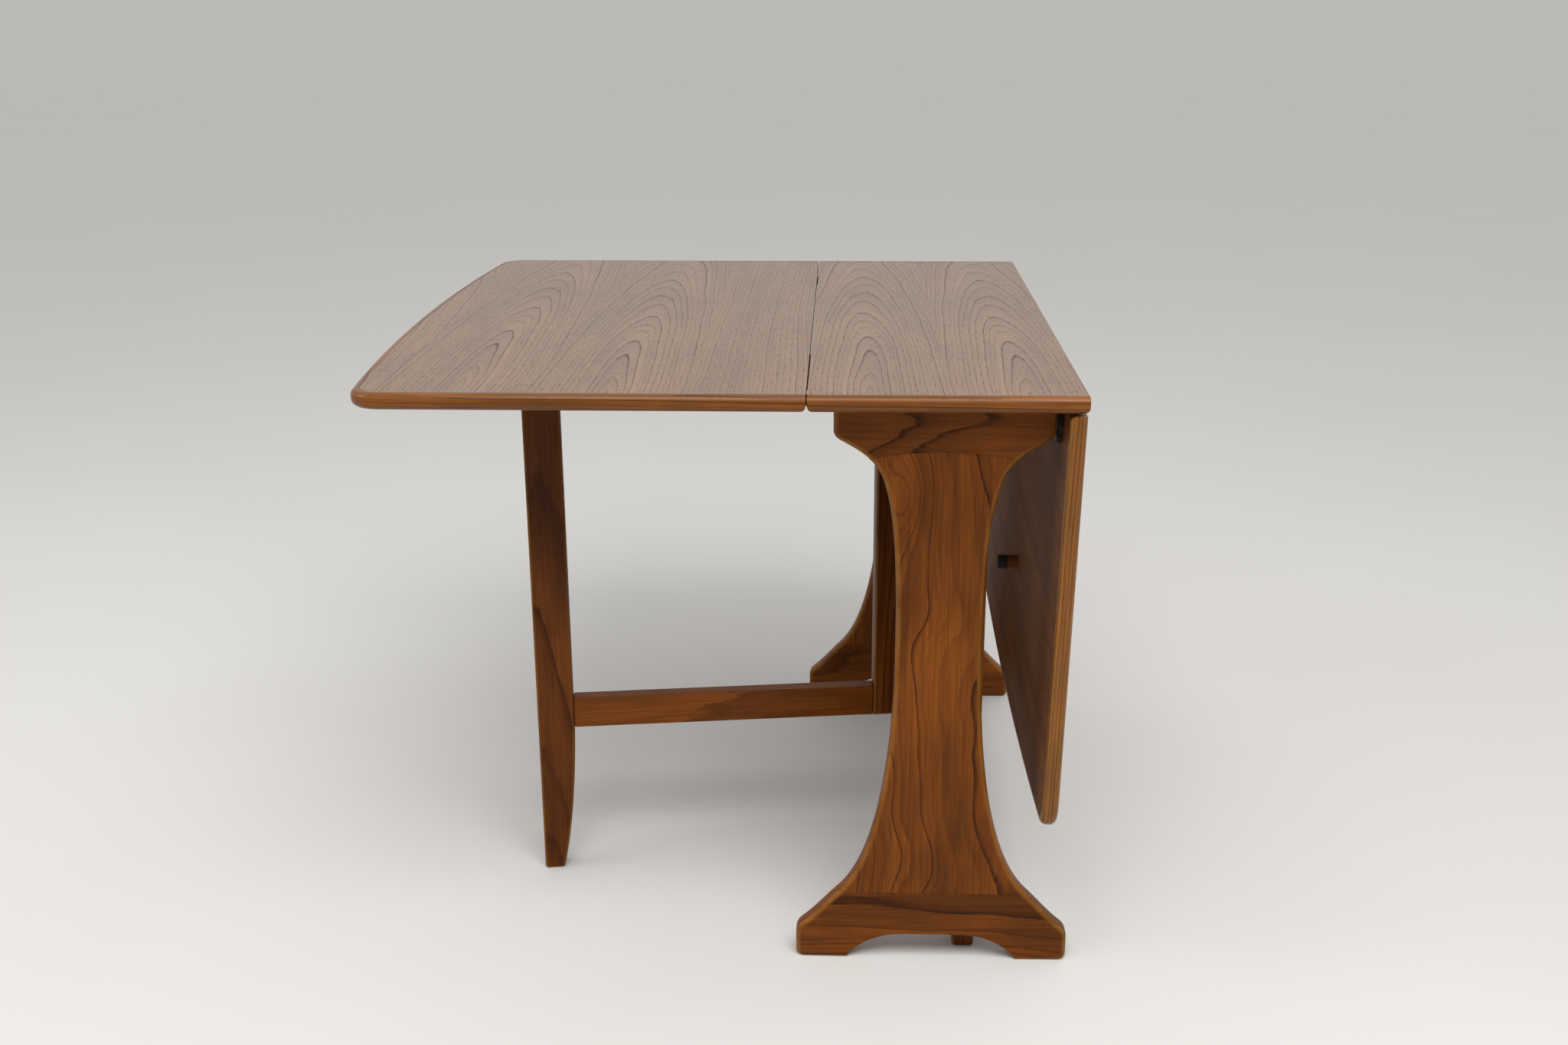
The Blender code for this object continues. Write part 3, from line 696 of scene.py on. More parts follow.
# Lighter copy of the lipping teak for the hanging right leaf: painted light, standing for the light that
# falls on that lipping from the front
paintedLitLippingTeak = {
    **lippingTeak,
    "light": colour(0.245, 0.094, 0.015),
    "dark": colour(0.105, 0.034, 0.006),
    "rings": {**lippingTeak["rings"], "ringWidth": 0.0042, "ripple": 0.8},
    "tone": 0.75,
    "wearAndSheen": 0.4,
    "coat": 0.12,
}
pegTeak = {
    **solidTeak,
    "light": colour(0.32, 0.130, 0.042),
    "dark": colour(0.18, 0.066, 0.020),
    "rings": {**solidTeak["rings"], "ringWidth": 0.003, "sway": 0.006},
    "fibreWidth": 0.0015,
    "roughness": 0.5,
}
veneerTeak = {
    **solidTeak,
    "light": colour(0.205, 0.106, 0.050),
    "dark": colour(0.128, 0.060, 0.026),
    "lineColour": colour(0.022, 0.009, 0.004),
    "rings": {
        "ringWidth": 0.0056,
        "tilt": 0.085,
        "sway": 0.026,
        "ripple": 0.45,
        "uneven": 2.2,
        "lineStart": 0.80,
    },
    "pores": {"length": 0.020, "width": 0.0008, "amount": 0.90},
    "strayPores": 0.30,
    "fibreWidth": 0.0020,
    "tone": 0.45,
    "season": 0.35,
    "cloud": 0.14,
    "streak": 0.24,
    "line": 1.0,
    "faintLines": 0.35,
    "poreDepth": 0.95,
    "wearAndSheen": 0.0,
    "roughness": 0.40,
    "bump": 0.2,
    "specular": 0.45,
    "coat": 0.52,
    "coatRoughness": 0.30,
}
backingTeak = {
    **veneerTeak,
    "light": colour(0.185, 0.074, 0.028),
    "dark": colour(0.105, 0.037, 0.013),
    "lineColour": colour(0.030, 0.010, 0.004),
    "poreDepth": 0.6,
    "roughness": 0.56,
    "specular": 0.04,
    "coat": 0.0,
}


rubberGrain = {
    "dustRate": (90.0, 90.0, 90.0),
    "dustSpan": (0.35, 0.8),
    "roughSpan": (0.3, 0.7),
    "roughness": (0.55, 0.78),
    "fineRate": (1500.0, 1500.0, 1500.0),
    "wearAndSheen": 0.6,
    "bump": 0.25,
    "depth": 0.0002,
}
metalGrain = {
    "mottleRate": (120.0, 120.0, 120.0),
    "mottleSpan": (0.42, 0.68),
    "brushRate": (900.0, 60.0, 900.0),
    "scratchSpan": (0.6, 0.8),
    "scratches": 0.5,
    "roughSpan": (0.3, 0.7),
    "roughMore": 0.12,
    "roughLess": 0.06,
    "bump": 0.15,
    "depth": 0.0002,
}


def makeRubber(name, look):
    material, tree, shader = startMaterial(name)
    place = put(tree, "ShaderNodeTexCoord").outputs["Object"]
    dust = noise(tree, place, rubberGrain["dustRate"], detail=4.0)["Fac"]
    wornAndSheen = useGroup(tree, groups["arris"], place=place, amount=rubberGrain["wearAndSheen"])["Mask"]
    paint = mixColour(tree, between(tree, dust, *rubberGrain["dustSpan"]), look["black"], look["dusty"])
    paint = mixColour(tree, wornAndSheen, paint, look["rubbed"])
    tree.links.new(paint, shader["Base Color"])
    rough = between(tree, dust, *rubberGrain["roughSpan"], *rubberGrain["roughness"])
    tree.links.new(rough, shader["Roughness"])
    fine = noise(tree, place, rubberGrain["fineRate"], detail=2.0)["Fac"]
    addBump(tree, shader, rubberGrain["bump"], rubberGrain["depth"], fine)
    return material


def makeMetal(name, look):
    material, tree, shader = startMaterial(name)
    place = put(tree, "ShaderNodeTexCoord").outputs["Object"]
    mottle = noise(tree, place, metalGrain["mottleRate"], detail=4.0, roughness=0.6)["Fac"]
    brushed = noise(tree, place, metalGrain["brushRate"], detail=2.0)["Fac"]
    paint = mixColour(tree, between(tree, mottle, *metalGrain["mottleSpan"]), look["dull"], look["bright"])
    scratched = between(tree, brushed, *metalGrain["scratchSpan"], 0.0, metalGrain["scratches"])
    paint = mixColour(tree, scratched, paint, look["scratch"])
    tree.links.new(paint, shader["Base Color"])
    dullest = look["roughness"] + metalGrain["roughMore"]
    brightest = look["roughness"] - metalGrain["roughLess"]
    rough = between(tree, mottle, *metalGrain["roughSpan"], dullest, brightest)
    tree.links.new(rough, shader["Roughness"])
    shader["Metallic"].default_value = look["metallic"]
    addBump(tree, shader, metalGrain["bump"], metalGrain["depth"], brushed)
    return material


finish = {
    "veneer": makeTeak("teakVeneer", veneerTeak),
    "lipping": makeTeak("teakLipping", lippingTeak),
    "paintedLitLipping": makeTeak("teakPaintedLitLipping", paintedLitLippingTeak),
    "rail_wood": makeTeak("teakRail", solidTeak),
    "post_wood": makeTeak("teakPost", postTeak),
    "leg_wood": makeTeak("teakLeg", legTeak),
    "peg_wood": makeTeak("teakPeg", pegTeak),
    "backing": makeTeak("teakBacking", backingTeak),
    "rubber": makeRubber(
        "blackRubber",
        {
            "black": colour(0.012, 0.012, 0.013),
            "dusty": colour(0.045, 0.043, 0.040),
            "rubbed": colour(0.07, 0.068, 0.065),
        },
    ),
    # Hinge metal: a dark bronzed finish, darkened further as painted shade for the hinges in shadow under
    # the top
    "hinge_metal": makeMetal(
        "bronzedSteelWithPaintedShade",
        {
            "dull": colour(0.020, 0.015, 0.010),
            "bright": colour(0.075, 0.050, 0.027),
            "scratch": colour(0.34, 0.23, 0.10),
            "roughness": 0.46,
            "metallic": 0.9,
        },
    ),
    "brass": makeMetal(
        "screwBrass",
        {
            "dull": colour(0.38, 0.25, 0.09),
            "bright": colour(0.72, 0.52, 0.22),
            "scratch": colour(0.85, 0.68, 0.38),
            "roughness": 0.30,
            "metallic": 1.0,
        },
    ),
}
print("finishes:", len(finish))


# Top boards and lippings

topShape = {
    "edgeRadius": 0.0075,
    "edgeSteps": 9,
    "jointArris": 0.008,
    "jointEasing": 0.0007,
    "bowSagitta": 0.0175,
    "bowHalfChord": 0.400,
    "cornerRadius": 0.036,
    "cornerSteps": 18,
    "bowSteps": 48,
    "straightSteps": 12,
    "jointSteps": 12,
    "easingSteps": 4,
    "overrun": 0.002,
    "farReach": 0.05,
    "endReach": 0.02,
    "cutClear": 0.01,
    "slotMouthDrop": 0.00125,
    "slotMouthBack": 0.02,
    "slotMouthOut": 0.003,
    "backingShift": 0.15,
    "endLippingSteps": 16,
    "lippingGrain": {"left": 0.0, "right": 3.1, "front": 1.3, "rear": 2.3},
}
bowSagitta = topShape["bowSagitta"]
bowRadius = (topShape["bowHalfChord"] ** 2 + bowSagitta ** 2) / (2 * bowSagitta)
bowCentre = leafOuter - bowRadius
cornerY = halfDepth - topShape["cornerRadius"]
cornerX = bowCentre + math.sqrt((bowRadius - topShape["cornerRadius"]) ** 2 - cornerY ** 2)
cornerTurn = math.degrees(math.atan2(cornerY, cornerX - bowCentre))


def wholeDepth(outline):
    reach = halfDepth + topShape["endReach"]
    return prism(outline, -reach, reach, xzPoint)


def leafPath(inset):
    radius = topShape["cornerRadius"] - inset
    steps = topShape["cornerSteps"]
    corner = arc((cornerX, -cornerY), radius, -90, -cornerTurn, steps)
    bow = arc((bowCentre, 0.0), bowRadius - inset, -cornerTurn, cornerTurn, topShape["bowSteps"])
    other = arc((cornerX, cornerY), radius, cornerTurn, 90, steps)
    start = leafEdge - topShape["overrun"]
    count = topShape["straightSteps"]
    front = [(start + (cornerX - start) * i / count, -halfDepth + inset) for i in range(count)]
    back = [(u, -w) for u, w in reversed(front)]
    return front + corner + bow[1:-1] + other + back


def edgeProfile(bottom, top):
    radius = topShape["edgeRadius"]
    steps = topShape["edgeSteps"]
    upper = arc((radius, top - radius), radius, 90, 180, steps)
    lower = arc((radius, bottom + radius), radius, 180, 270, steps)
    return [(lippingWidth, top)] + upper + lower + [(lippingWidth, bottom)]


def keepBehindJoint(bm):
    # Keeps what lies behind a leaf's hinge edge: a rounded lower arris and an eased upper one
    radius = topShape["jointArris"]
    easing = topShape["jointEasing"]
    far = leafOuter + topShape["farReach"]
    below = leafUnder - topShape["cutClear"]
    above = leafTop + topShape["cutClear"]
    lower = arc((leafEdge + radius, leafUnder + radius), radius, 270, 180, topShape["jointSteps"])
    upper = arc((leafEdge + easing, leafTop - easing), easing, 180, 90, topShape["easingSteps"])
    outline = [(far, below), (leafEdge + radius, below)] + lower + upper
    outline += [(leafEdge + easing, above), (far, above)]
    return carve(bm, [("INTERSECT", wholeDepth(outline))])


def leafLippingGrain(shift):
    cornerLength = topShape["cornerRadius"] * math.radians(90 - cornerTurn)
    halfBow = bowRadius * math.radians(cornerTurn)
    total = 2 * (cornerX - leafEdge + cornerLength + halfBow)

    def grainAt(point, facing):
        side = abs(point.y)
        turn = math.degrees(math.atan2(side - cornerY, point.x - cornerX))
        if point.x <= cornerX and side > cornerY - 0.01:
            run = point.x - leafEdge
            inset = halfDepth - side
        elif turn >= cornerTurn:
            run = cornerX - leafEdge + topShape["cornerRadius"] * math.radians(90 - turn)
            inset = topShape["cornerRadius"] - math.hypot(side - cornerY, point.x - cornerX)
        else:
            angle = math.atan2(side, point.x - bowCentre)
            run = cornerX - leafEdge + cornerLength + halfBow - bowRadius * angle
            inset = bowRadius - math.hypot(side, point.x - bowCentre)
        if point.y > 0:
            run = total - run
        return Vector((run + shift, inset, point.z))

    return grainAt


# Each sheet of veneer: where it starts, the middle of its figure, the log's shift across,
# the heart along the grain, and how deep in the log it was cut
veneerSheets = {
    "left": [
        (-1.0, 0.090, 0.170, 1.9, 0.16),
        (0.147, 0.2318, 0.0, -0.46, 0.0),
        (0.317, 0.4018, 0.0, -0.40, 0.0),
        (0.487, 0.5700, 0.0, -0.25, 0.02),
    ],
    "centre": [
        (-1.0, -0.085, 0.0, -0.43, 0.0),
        (0.0025, 0.090, 0.0, -0.455, 0.0),
    ],
    "right": [
        (-1.0, 0.080, 0.0, -0.44, 0.0),
        (0.160, 0.2450, 0.0, -0.30, 0.0),
        (0.330, 0.4150, 0.0, -0.50, 0.0),
        (0.500, 0.6900, 0.1, -0.20, 0.05),
    ],
}


def cutIntoSheets(bm, sheets):
    for sheet in sheets[1:]:
        everything = list(bm.verts) + list(bm.edges) + list(bm.faces)
        seam = {"plane_co": (sheet[0], 0.0, 0.0), "plane_no": (1.0, 0.0, 0.0)}
        bmesh.ops.bisect_plane(bm, geom=everything, **seam)
    return bm


def veneerGrain(sheets, away, top):
    def grainAt(point, facing):
        centre, normal = facing
        start, middle, shift, heart, depth = [s for s in sheets if centre.x >= s[0]][-1]
        along = away * point.y - heart
        across = point.x - middle + shift
        into = point.z - top + depth
        if normal.z < finishing["underFace"]:
            across += topShape["backingShift"]
            into += topShape["backingShift"]
        return Vector((along, across, into))

    return grainAt


def buildLeaf(side):
    place = leafPlace[side]
    body = side + "_leaf"
    plate = prism(leafPath(lippingWidth + gap), leafUnder, leafTop, xyPoint)
    sheets = veneerSheets[side]
    finishPiece(
        side + "LeafBoard",
        cutIntoSheets(keepBehindJoint(plate), sheets),
        place,
        body,
        "veneer",
        side + "_leaf_board",
        grain=veneerGrain(sheets, -1.0 if side == "left" else 1.0, leafTop),
        backing=finish["backing"],
    )
    finishPiece(
        side + "LeafLipping",
        keepBehindJoint(loft(leafPath, edgeProfile(leafUnder, leafTop))),
        place,
        body,
        "lipping",
        side + "_leaf_lipping",
        # The hanging right leaf's lipping gets the lighter copy, as painted light
        material=finish["lipping" if side == "left" else "paintedLitLipping"],
        grain=leafLippingGrain(topShape["lippingGrain"][side]),
        arris=arrisAt("z", leafUnder, leafTop, topShape["edgeRadius"]),
    )


def centreSection():
    # Whole section of the centre top across its hinge edges
    radius = topShape["jointArris"]
    easing = topShape["jointEasing"]
    right = arc((halfCentre - radius, underside + radius), radius, 270, 360, topShape["jointSteps"])
    right += arc((halfCentre - easing, topHeight - easing), easing, 0, 90, topShape["easingSteps"])
    return right + mirrored(right)


def hingeSlots():
    # A slot for each socket, open below and, under the pin, out through the hinge edge
    cutters = []
    mouth = leafPivot["left"].z - topShape["slotMouthDrop"]
    for side, sign in (("left", -1), ("right", 1)):
        for end in ("front", "rear"):
            low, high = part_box(f"{side}_hinge_socket_{end}")
            grow = Vector((gap, gap, gap))
            low = low - grow - Vector((tableMiddle, 0.0, topShape["cutClear"]))
            high = high + grow - Vector((tableMiddle, 0.0, 0.0))
            cutters.append(("DIFFERENCE", box(low, high)))
            back = sign * (halfCentre - topShape["slotMouthBack"])
            out = sign * (halfCentre + topShape["slotMouthOut"])
            ends = (min(back, out), max(back, out))
            cutters.append(("DIFFERENCE", box((ends[0], low.y, low.z), (ends[1], high.y, mouth))))
    return cutters


def buildCentre():
    boardEnd = halfDepth - lippingWidth - gap
    board = prism(centreSection(), -boardEnd, boardEnd, xzPoint)
    sheets = veneerSheets["centre"]
    finishPiece(
        "centreBoard",
        cutIntoSheets(carve(board, hingeSlots()), sheets),
        rootPlace,
        "frame",
        "veneer",
        "centre_board",
        grain=veneerGrain(sheets, 1.0, topHeight),
        backing=finish["backing"],
    )
    for end, side in (("front", -1), ("rear", 1)):
        def endPath(inset):
            y = side * (halfDepth - inset)
            reach = halfCentre + topShape["overrun"]
            count = topShape["endLippingSteps"]
            return [(-side * reach * (1 - 2 * i / count), y) for i in range(count + 1)]

        band = loft(endPath, edgeProfile(underside, topHeight))
        finishPiece(
            "centreLipping" + end.capitalize(),
            carve(band, [("INTERSECT", wholeDepth(centreSection()))]),
            rootPlace,
            "frame",
            "lipping",
            "centre_lipping_" + end,
            grain=timber("xyz", (topShape["lippingGrain"][end], 0.0, 0.0)),
            arris=arrisAt("z", underside, topHeight, topShape["edgeRadius"]),
        )


buildCentre()
for leafSide in ("left", "right"):
    buildLeaf(leafSide)
print("top boards and lippings built")


# End panels

panelShape = {
    "cleatEndBottom": 0.679,
    "cleatShoulder": (0.110, 0.6635),
    "cleatFootHalfWidth": 0.0855,
    "waistHalfWidth": 0.0505,
    "upperWaist": 0.440,
    "lowerWaist": 0.420,
    "footJointHalfWidth": 0.116,
    "footShoulder": (0.1565, 0.0495),
    "footTipHeight": 0.031,
    "archHalfWidth": 0.104,
    "archCrown": 0.032,
    "padCorner": 0.0075,
    "arrisRadius": 0.0065,
    "arrisSteps": 8,
    "archCrownHalfWidth": 0.034,
    "archEasing": 0.35,
    "archClear": 0.001,
    "archBand": 0.04,
    "padEasing": 0.6,
    "padSteps": 7,
    "jointSteps": 32,
    "jointOverrun": 0.008,
    "cutSide": 0.2,
    "cutBelow": -0.1,
    "cutAbove": 0.8,
    "cutFace": 0.01,
    "grainStart": {"front": 0.0, "rear": 3.0},
}
# Handles of each curve as length and angle at its two ends, and the number of steps
panelCurves = {
    "cleat": ((0.009, -90), (0.008, 30), 12),
    "under": ((0.010, 210), (0.010, 42), 10),
    "flare": ((0.015, 230), (0.190, 90), 28),
    "spread": ((0.130, -90), (0.070, 136), 28),
    "slope": ((0.016, -44), (0.016, 140), 10),
    "toe": ((0.009, -40), (0.009, 90), 10),
    "arch": ((0.024, 125), (0.030, 0), 14),
}
# Each timber of a panel: the cuts that part it from the blank, and how its grain lies
panelPieces = {
    "Cleat": {"slot": "rail_wood", "cuts": ["belowCleat"], "axes": "xzy", "heart": (0.0, -0.72)},
    "Post": {"slot": "post_wood", "cuts": ["abovePost", "belowPost"], "axes": "zxy", "heart": (0.0, 0.0)},
    "Foot": {"slot": "rail_wood", "cuts": ["aboveFoot"], "axes": "xzy", "heart": (2.0, -0.16)},
}
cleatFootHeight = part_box("front_panel_cleat")[0].z
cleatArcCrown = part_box("front_panel_post")[1].z + gap
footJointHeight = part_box("front_panel_foot")[1].z
footHalfWidth = span("front_panel_foot").x / 2
cleatHalfWidth = span("front_panel_cleat").x / 2


def panelCurve(name, start, end):
    first, second, steps = panelCurves[name]
    return bezier(start, polar(start, *first), polar(end, *second), end, steps)


def panelSide():
    # Right side from the cleat's end down to the floor
    shape = panelShape
    end = (cleatHalfWidth, shape["cleatEndBottom"])
    throat = (shape["cleatFootHalfWidth"], cleatFootHeight)
    upper = (shape["waistHalfWidth"], shape["upperWaist"])
    lower = (shape["waistHalfWidth"], shape["lowerWaist"])
    joint = (shape["footJointHalfWidth"], footJointHeight)
    tip = (footHalfWidth, shape["footTipHeight"])
    pad = shape["padCorner"]
    side = panelCurve("cleat", end, shape["cleatShoulder"])
    side += panelCurve("under", shape["cleatShoulder"], throat)[1:]
    side += panelCurve("flare", throat, upper)[1:]
    side += panelCurve("spread", lower, joint)
    side += panelCurve("slope", joint, shape["footShoulder"])[1:]
    side += panelCurve("toe", shape["footShoulder"], tip)[1:]
    return side + arc((footHalfWidth - pad, pad), pad, 0, -90, shape["padSteps"])


def footArch():
    right = (panelShape["archHalfWidth"], 0.0)
    crown = (panelShape["archCrownHalfWidth"], panelShape["archCrown"])
    half = panelCurve("arch", right, crown)
    return half + mirrored(half)


def panelBlank(low, high):
    # The arch has the smaller arris, and the pads are only eased upward
    shape = panelShape
    top = underside - gap
    side = [(cleatHalfWidth, top)] + panelSide()
    outline = side + footArch() + mirrored(side)
    offsets = inwardMiters(outline)
    for i, (u, w) in enumerate(outline):
        if abs(w - top) < touching:
            offsets[i] = Vector((-math.copysign(1.0, u), 0.0))
        elif abs(u) < shape["archHalfWidth"] + shape["archClear"] and w < shape["archBand"]:
            offsets[i] = offsets[i] * shape["archEasing"]
        elif w < touching:
            offsets[i] = Vector((0.0, shape["padEasing"]))
    return roundedPrism(outline, offsets, low, high, shape["arrisRadius"], shape["arrisSteps"])


def jointArc(drop):
    # Curved joint between cleat and post, run on past both sides
    rise = cleatArcCrown - cleatFootHeight
    half = panelShape["cleatFootHalfWidth"]
    radius = (half ** 2 + rise ** 2) / (2 * rise)
    turn = math.degrees(math.asin((half + panelShape["jointOverrun"]) / radius))
    middle = (0.0, cleatArcCrown - drop - radius)
    curve = arc(middle, radius, 90 - turn, 90 + turn, panelShape["jointSteps"])
    reach = panelShape["cutSide"]
    return [(reach, curve[0][1])] + curve + [(-reach, curve[-1][1])]


def buildPanel(end):
    low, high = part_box(f"{end}_panel_post")
    face = panelShape["cutFace"]
    wide = (low.y - face, high.y + face)
    reach = panelShape["cutSide"]
    floor = panelShape["cutBelow"]
    roof = panelShape["cutAbove"]
    cuts = {
        "belowCleat": lambda: prism(jointArc(0.0) + [(-reach, floor), (reach, floor)], *wide, xzPoint),
        "abovePost": lambda: prism(jointArc(gap) + [(-reach, roof), (reach, roof)], *wide, xzPoint),
        "belowPost": lambda: box((-reach, wide[0], floor), (reach, wide[1], footJointHeight + gap)),
        "aboveFoot": lambda: box((-reach, wide[0], footJointHeight), (reach, wide[1], roof)),
    }
    for piece, wood in panelPieces.items():
        blank = panelBlank(low.y, high.y)
        start, heart = wood["heart"]
        depth = -low.y if piece == "Post" else 0.0
        shift = (start + panelShape["grainStart"][end], heart, depth)
        finishPiece(
            f"{end}Panel{piece}",
            carve(blank, [("DIFFERENCE", cuts[name]()) for name in wood["cuts"]]),
            rootPlace,
            "frame",
            wood["slot"],
            f"{end}_panel_{piece.lower()}",
            grain=timber(wood["axes"], shift),
            arris=arrisAt("y", low.y, high.y, panelShape["arrisRadius"]),
        )


for panelEnd in ("front", "rear"):
    buildPanel(panelEnd)
print("end panels built")


# Rails of the fixed frame

railShape = {
    "arrisRadius": 0.0018,
    "arrisSteps": 3,
    "grainStart": {"spine_rail": 5.0, "lower_stretcher": 7.0},
}


def buildFixedRail(node, name):
    low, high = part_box(node)
    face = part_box("front_panel_post")[1].y
    low = Vector((low.x - tableMiddle, face + gap, low.z))
    high = Vector((high.x - tableMiddle, -face - gap, high.z))
    finishPiece(
        name,
        softBox(low, high, railShape["arrisRadius"], railShape["arrisSteps"]),
        rootPlace,
        "frame",
        "rail_wood",
        node,
        grain=timber("yzx", (railShape["grainStart"][node], -high.z, 0.0)),
    )


buildFixedRail("spine_rail", "spineRail")
buildFixedRail("lower_stretcher", "lowerStretcher")


# Gates

gateShape = {
    "footWidth": 0.027,
    "topWidth": 0.048,
    "taperHeight": 0.205,
    "postStart": 0.005,
    "postWidth": 0.040,
    "railThickness": 0.021,
    "arrisRadius": 0.0035,
    "arrisSteps": 5,
    "railArris": 0.0015,
    "pad": 0.004,
    "padSteps": 4,
    "taperHandles": ((0.010, 0.050), (0.002, 0.120)),
    "taperSteps": 24,
    "grainStart": {"left": 11.0, "right": 16.0},
    "postGrain": 0.3,
    "railGrain": 4.0,
}
closedLegLow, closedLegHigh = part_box("right_gate_leg")
gateThickness = closedLegHigh.x - closedLegLow.x
gateLength = Vector(jointOf["right_gate_hinge"]["pos_m"]).y - closedLegLow.y
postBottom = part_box("right_gate_post")[0].z


def upright(outline):
    offsets = inwardMiters(outline)
    middle = sum(u for u, w in outline) / len(outline)
    top = max(w for u, w in outline)
    for i, (u, w) in enumerate(outline):
        if abs(w - top) < touching:
            offsets[i] = Vector((math.copysign(1.0, middle - u), 0.0))
    rounding = (gateShape["arrisRadius"], gateShape["arrisSteps"])
    return roundedPrism(outline, offsets, 0.0, gateThickness, *rounding)


def legOutline():
    inner = gateLength - gateShape["topWidth"]
    foot = gateLength - gateShape["footWidth"]
    top = underside - gap
    pad = gateShape["pad"]
    steps = gateShape["padSteps"]
    handles = [(inner + out, height) for out, height in gateShape["taperHandles"]]
    shoulder = (inner, gateShape["taperHeight"])
    taper = bezier((foot, pad), *handles, shoulder, gateShape["taperSteps"])
    sole = arc((gateLength - pad, pad), pad, 0, -90, steps)
    sole += arc((foot + pad, pad), pad, -90, -180, steps)
    return taper[1:] + [(inner, top), (gateLength, top)] + sole


def buildGate(side):
    place = gatePlace[side]
    body = side + "_gate"
    start = gateShape["grainStart"][side]
    postStart = gateShape["postStart"]
    postEnd = postStart + gateShape["postWidth"]
    legStart = gateLength - gateShape["topWidth"]
    top = underside - gap
    postOutline = [(postStart, postBottom), (postStart, top), (postEnd, top), (postEnd, postBottom)]
    uprights = (("Leg", legOutline(), -gateLength), ("Post", postOutline, gateShape["postGrain"]))
    for piece, outline, heart in uprights:
        finishPiece(
            f"{side}Gate{piece}",
            upright(outline),
            place,
            body,
            "leg_wood",
            f"{side}_gate_{piece.lower()}",
            grain=timber("zxy", (start, heart, 0.0)),
            arris=arrisAt("y", 0.0, gateThickness, gateShape["arrisRadius"]),
        )
    half = gateShape["railThickness"] / 2
    near = gateThickness / 2 - half
    far = gateThickness / 2 + half
    for level in ("lower", "upper"):
        low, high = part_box(f"right_gate_{level}_rail")
        ends = ((postEnd + gap, near, low.z), (legStart - gap, far, high.z))
        finishPiece(
            f"{side}Gate{level.capitalize()}Rail",
            softBox(*ends, gateShape["railArris"], railShape["arrisSteps"]),
            place,
            body,
            "rail_wood",
            f"{side}_gate_{level}_rail",
            grain=timber("xzy", (start + gateShape["railGrain"], -low.z, 0.0)),
        )


for gateSide in ("left", "right"):
    buildGate(gateSide)
print("gates built")


# Hinge metalwork, with its sharp edges broken

metalShape = {
    "weld": 1e-6,
    "flatAngle": 1,
    "brokenEdge": 0.0003,
    "edgeSteps": 2,
    "sharpAngle": 35,
}

def buildMetalwork(node, name, body):
    bm = bmesh.new()
    bm.from_mesh(frame["nodes"][node].data)
    bmesh.ops.remove_doubles(bm, verts=bm.verts, dist=metalShape["weld"])
    flat = math.radians(metalShape["flatAngle"])
    bmesh.ops.dissolve_limit(bm, angle_limit=flat, verts=bm.verts, edges=bm.edges)
    piece = finishPiece(name, bm, Matrix.Identity(4), body, "hinge_metal", node)
    bevel = piece.modifiers.new("brokenEdges", "BEVEL")
    bevel.width = metalShape["brokenEdge"]
    bevel.segments = metalShape["edgeSteps"]
    bevel.limit_method = "ANGLE"
    bevel.angle_limit = math.radians(metalShape["sharpAngle"])
    bevel.use_clamp_overlap = True
    piece.modifiers.move(1, 0)


for metalSide in ("left", "right"):
    for metalEnd in ("front", "rear"):
        title = metalEnd.capitalize()
        buildMetalwork(
            f"{metalSide}_leaf_hinge_arm_{metalEnd}", f"{metalSide}HingeArm{title}", metalSide + "_leaf"
        )
        buildMetalwork(f"{metalSide}_hinge_socket_{metalEnd}", f"{metalSide}HingeSocket{title}", "frame")
    for level in ("lower", "upper"):
        title = level.capitalize()
        node = f"{metalSide}_gate_hinge_{level}_"
        buildMetalwork(node + "fixed_flap", f"{metalSide}Gate{title}FixedFlap", "frame")
        buildMetalwork(node + "moving_flap", f"{metalSide}Gate{title}MovingFlap", metalSide + "_gate")


# Countersunk screws of the leaf hinges

screwShape = {
    "segments": 40,
    "dome": 0.00012,
    "domeSteps": ((0.0, 0.0), (0.45, 0.2), (0.8, 0.6)),
    "headEdge": 0.0004,
    "pointLength": 0.003,
    "slotOverrun": 0.001,
    "coneHeight": 0.0024,
    "shankShare": 0.47,
    "slotWidth": 0.0009,
    "slotDepth": 0.0009,
    "slotTurns": (14, 71, 118, 35, 160, 92, 50, 131),
}
screwLength = span("left_leaf_screw_front_1").z
screwHead = span("left_leaf_screw_front_1").x / 2


def buildScrew(side, end, number, turn):
    node = f"{side}_leaf_screw_{end}_{number}"
    low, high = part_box(node)
    middle = leafPlace[side].inverted() @ ((low + high) / 2)
    shank = screwHead * screwShape["shankShare"]
    dome = screwShape["dome"]
    profile = [(screwHead * reach, dome * rise) for reach, rise in screwShape["domeSteps"]]
    profile += [
        (screwHead - dome, dome),
        (screwHead, dome + dome),
        (screwHead, screwShape["headEdge"]),
        (shank, screwShape["coneHeight"]),
        (shank, screwLength - screwShape["pointLength"]),
        (0.0, screwLength),
    ]
    half = screwShape["slotWidth"] / 2
    over = screwShape["slotOverrun"]
    slot = box((-half, -screwHead - over, -over), (half, screwHead + over, screwShape["slotDepth"]))
    bmesh.ops.rotate(slot, verts=slot.verts, matrix=Matrix.Rotation(math.radians(turn), 3, "Z"))
    finishPiece(
        f"{side}HingeScrew{end.capitalize()}{number}",
        carve(lathe(profile, screwShape["segments"]), [("DIFFERENCE", slot)]),
        leafPlace[side] @ Matrix.Translation((middle.x, middle.y, middle.z - screwLength / 2)),
        side + "_leaf",
        "brass",
        node,
    )


screwTurns = iter(screwShape["slotTurns"])
for screwSide in ("left", "right"):
    for screwEnd in ("front", "rear"):
        for screwNumber in (1, 2):
            buildScrew(screwSide, screwEnd, screwNumber, next(screwTurns))


# Stop pegs under the leaves

